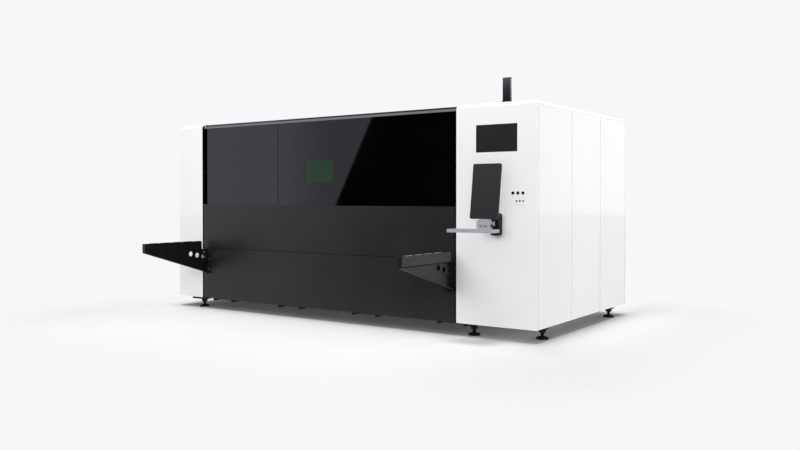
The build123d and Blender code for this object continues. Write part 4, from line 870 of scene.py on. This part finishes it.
knob = [(0, 0), (8, 0), (8, 3), (13, 4), (13, 14), (11, 17), (6, 18), (5, 16), (0, 16)]
knob_seat = (neck_low.x + 129 * mm, neck_low.y + 22 * mm, neck_low.z + 30 * mm)
bm = bmesh.new()
turned(bm, knob, Matrix.Translation(knob_seat) @ to_right, steps=10)
finish_piece("clamp_knob", bm, lamp_plastic, "console")

# %% [markdown]
# ### Marks, lamp plate and roof screws
# Each indicator lamp has a printed mark under it, a thin bar that stands for its label. The side of
# the tower light carries an aluminium plate and an eyelet in each vent. The roof is held down by
# button screws along its edges.

# %% Marks and lamp plate
lamps_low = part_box("indicator_lamps")[0]
z = lamps_low.z - 21 * mm
bm = bmesh.new()
for index in range(3):
    x = lamps_low.x + (7.5 + 30 * index) * mm
    plate(bm, (x - 8 * mm, front_y - 0.4 * mm, z - 1.5 * mm),
          (x + 8 * mm, front_y, z + 1.5 * mm), 0.1 * mm, 1)
finish_piece("lamp_marks", bm, grey_satin, "machine_frame")

eyelet = [(3.2, 0), (8, 0), (7, 1), (4, 1.2)]
lens_y = (lens_low.y + lens_high.y) / 2
bm = bmesh.new()
for index in range(3):
    vent = Matrix.Translation((lens_high.x, lens_y, lens_low.z + (40 + 22 * index) * mm))
    turned(bm, eyelet, vent @ to_right, closed=True)
plate(bm, (lens_high.x, lens_y - 9 * mm, lens_low.z + 100 * mm),
      (lens_high.x + 1 * mm, lens_y + 9 * mm, lens_high.z - 12 * mm), 0.4 * mm)
finish_piece("tower_side_plate", bm, milled_alloy, "machine_frame")

# %% Roof screws
screw = [(0, 0), (7, 0), (7, 1), (5, 3), (2.5, 3.5), (2.5, 2), (0, 2)]
inset = 70 * mm
bm = bmesh.new()
for name, count_x, count_y in (("cabinet_roof", 3, 7), ("chamber_roof", 9, 6)):
    roof_low, roof_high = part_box(name)
    wide = roof_high.x - roof_low.x - 2 * inset
    deep = roof_high.y - roof_low.y - 2 * inset
    for i in range(count_x):
        for j in range(count_y):
            if i in (0, count_x - 1) or j in (0, count_y - 1):
                seat = (roof_low.x + inset + wide * i / (count_x - 1),
                        roof_low.y + inset + deep * j / (count_y - 1), roof_high.z)
                turned(bm, screw, Matrix.Translation(seat), steps=14)
finish_piece("roof_screws", bm, ground_steel, "machine_frame")

# %% [markdown]
# ### Fittings in the equipment bay
# Open side doors show the two housings, so they get what a fitter would look for: a main switch and two
# quarter-turn latches on the control box, two bar handles and a row of lamps on the laser source. A
# handle is three turned rods, which is how a welded one is made.

# %% Switch and latches
box_low, box_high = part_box("control_box")
middle_y = (box_low.y + box_high.y) / 2
land = (box_high.z - box_low.z) / 9
switch_z = box_high.z - land / 2
dial = [(0, 0), (24, 0), (24, 5), (21, 7), (15, 8), (14, 20), (12, 22), (0, 22)]
latch = [(radius * 0.7, height * 0.5) for radius, height in dial]
bm = bmesh.new()
turned(bm, dial, Matrix.Translation((box_high.x, middle_y, switch_z)) @ to_right, steps=32)
dial_top = box_high.x + 22 * mm
plate(bm, (dial_top - 2 * mm, middle_y - 3 * mm, switch_z - 20 * mm),
      (dial_top + 8 * mm, middle_y + 3 * mm, switch_z + 20 * mm), 1.5 * mm)
for row in (2, 6):
    seat = Matrix.Translation((box_high.x, box_high.y - 32 * mm, box_low.z + land * (row + 0.5)))
    turned(bm, latch, seat @ to_right, steps=24)
finish_piece("main_switch_and_latches", bm, button_plastic, "machine_frame")

# %% Handles and lamps of the source
source_low, source_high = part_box("laser_source")
face_x = source_high.x
post = [(0, 0), (9, 0), (9, 3), (6, 4), (6, 42), (4.5, 46), (0, 47)]
bar = [(0, -8), (4, -8), (6, -6), (6, 146), (4, 148), (0, 148)]
bm = bmesh.new()
for y in (source_low.y + 55 * mm, source_high.y - 55 * mm):
    for z in (source_low.z + 90 * mm, source_high.z - 90 * mm):
        turned(bm, post, Matrix.Translation((face_x, y, z)) @ to_right, steps=16)
    turned(bm, bar, Matrix.Translation((face_x + 40 * mm, y, source_low.z + 90 * mm)), steps=16)
finish_piece("source_handles", bm, ground_steel, "machine_frame")

lens = [(0, 0), (6, 0), (6, 1.5), (4, 3), (2, 4), (0, 4.3)]
bm = bmesh.new()
for index in range(4):
    seat = (face_x, source_low.y + (300 + 44 * index) * mm, source_high.z - 9 * mm)
    turned(bm, lens, Matrix.Translation(seat) @ to_right, steps=16)
finish_piece("source_lamps", bm, lamp_plastic, "machine_frame")
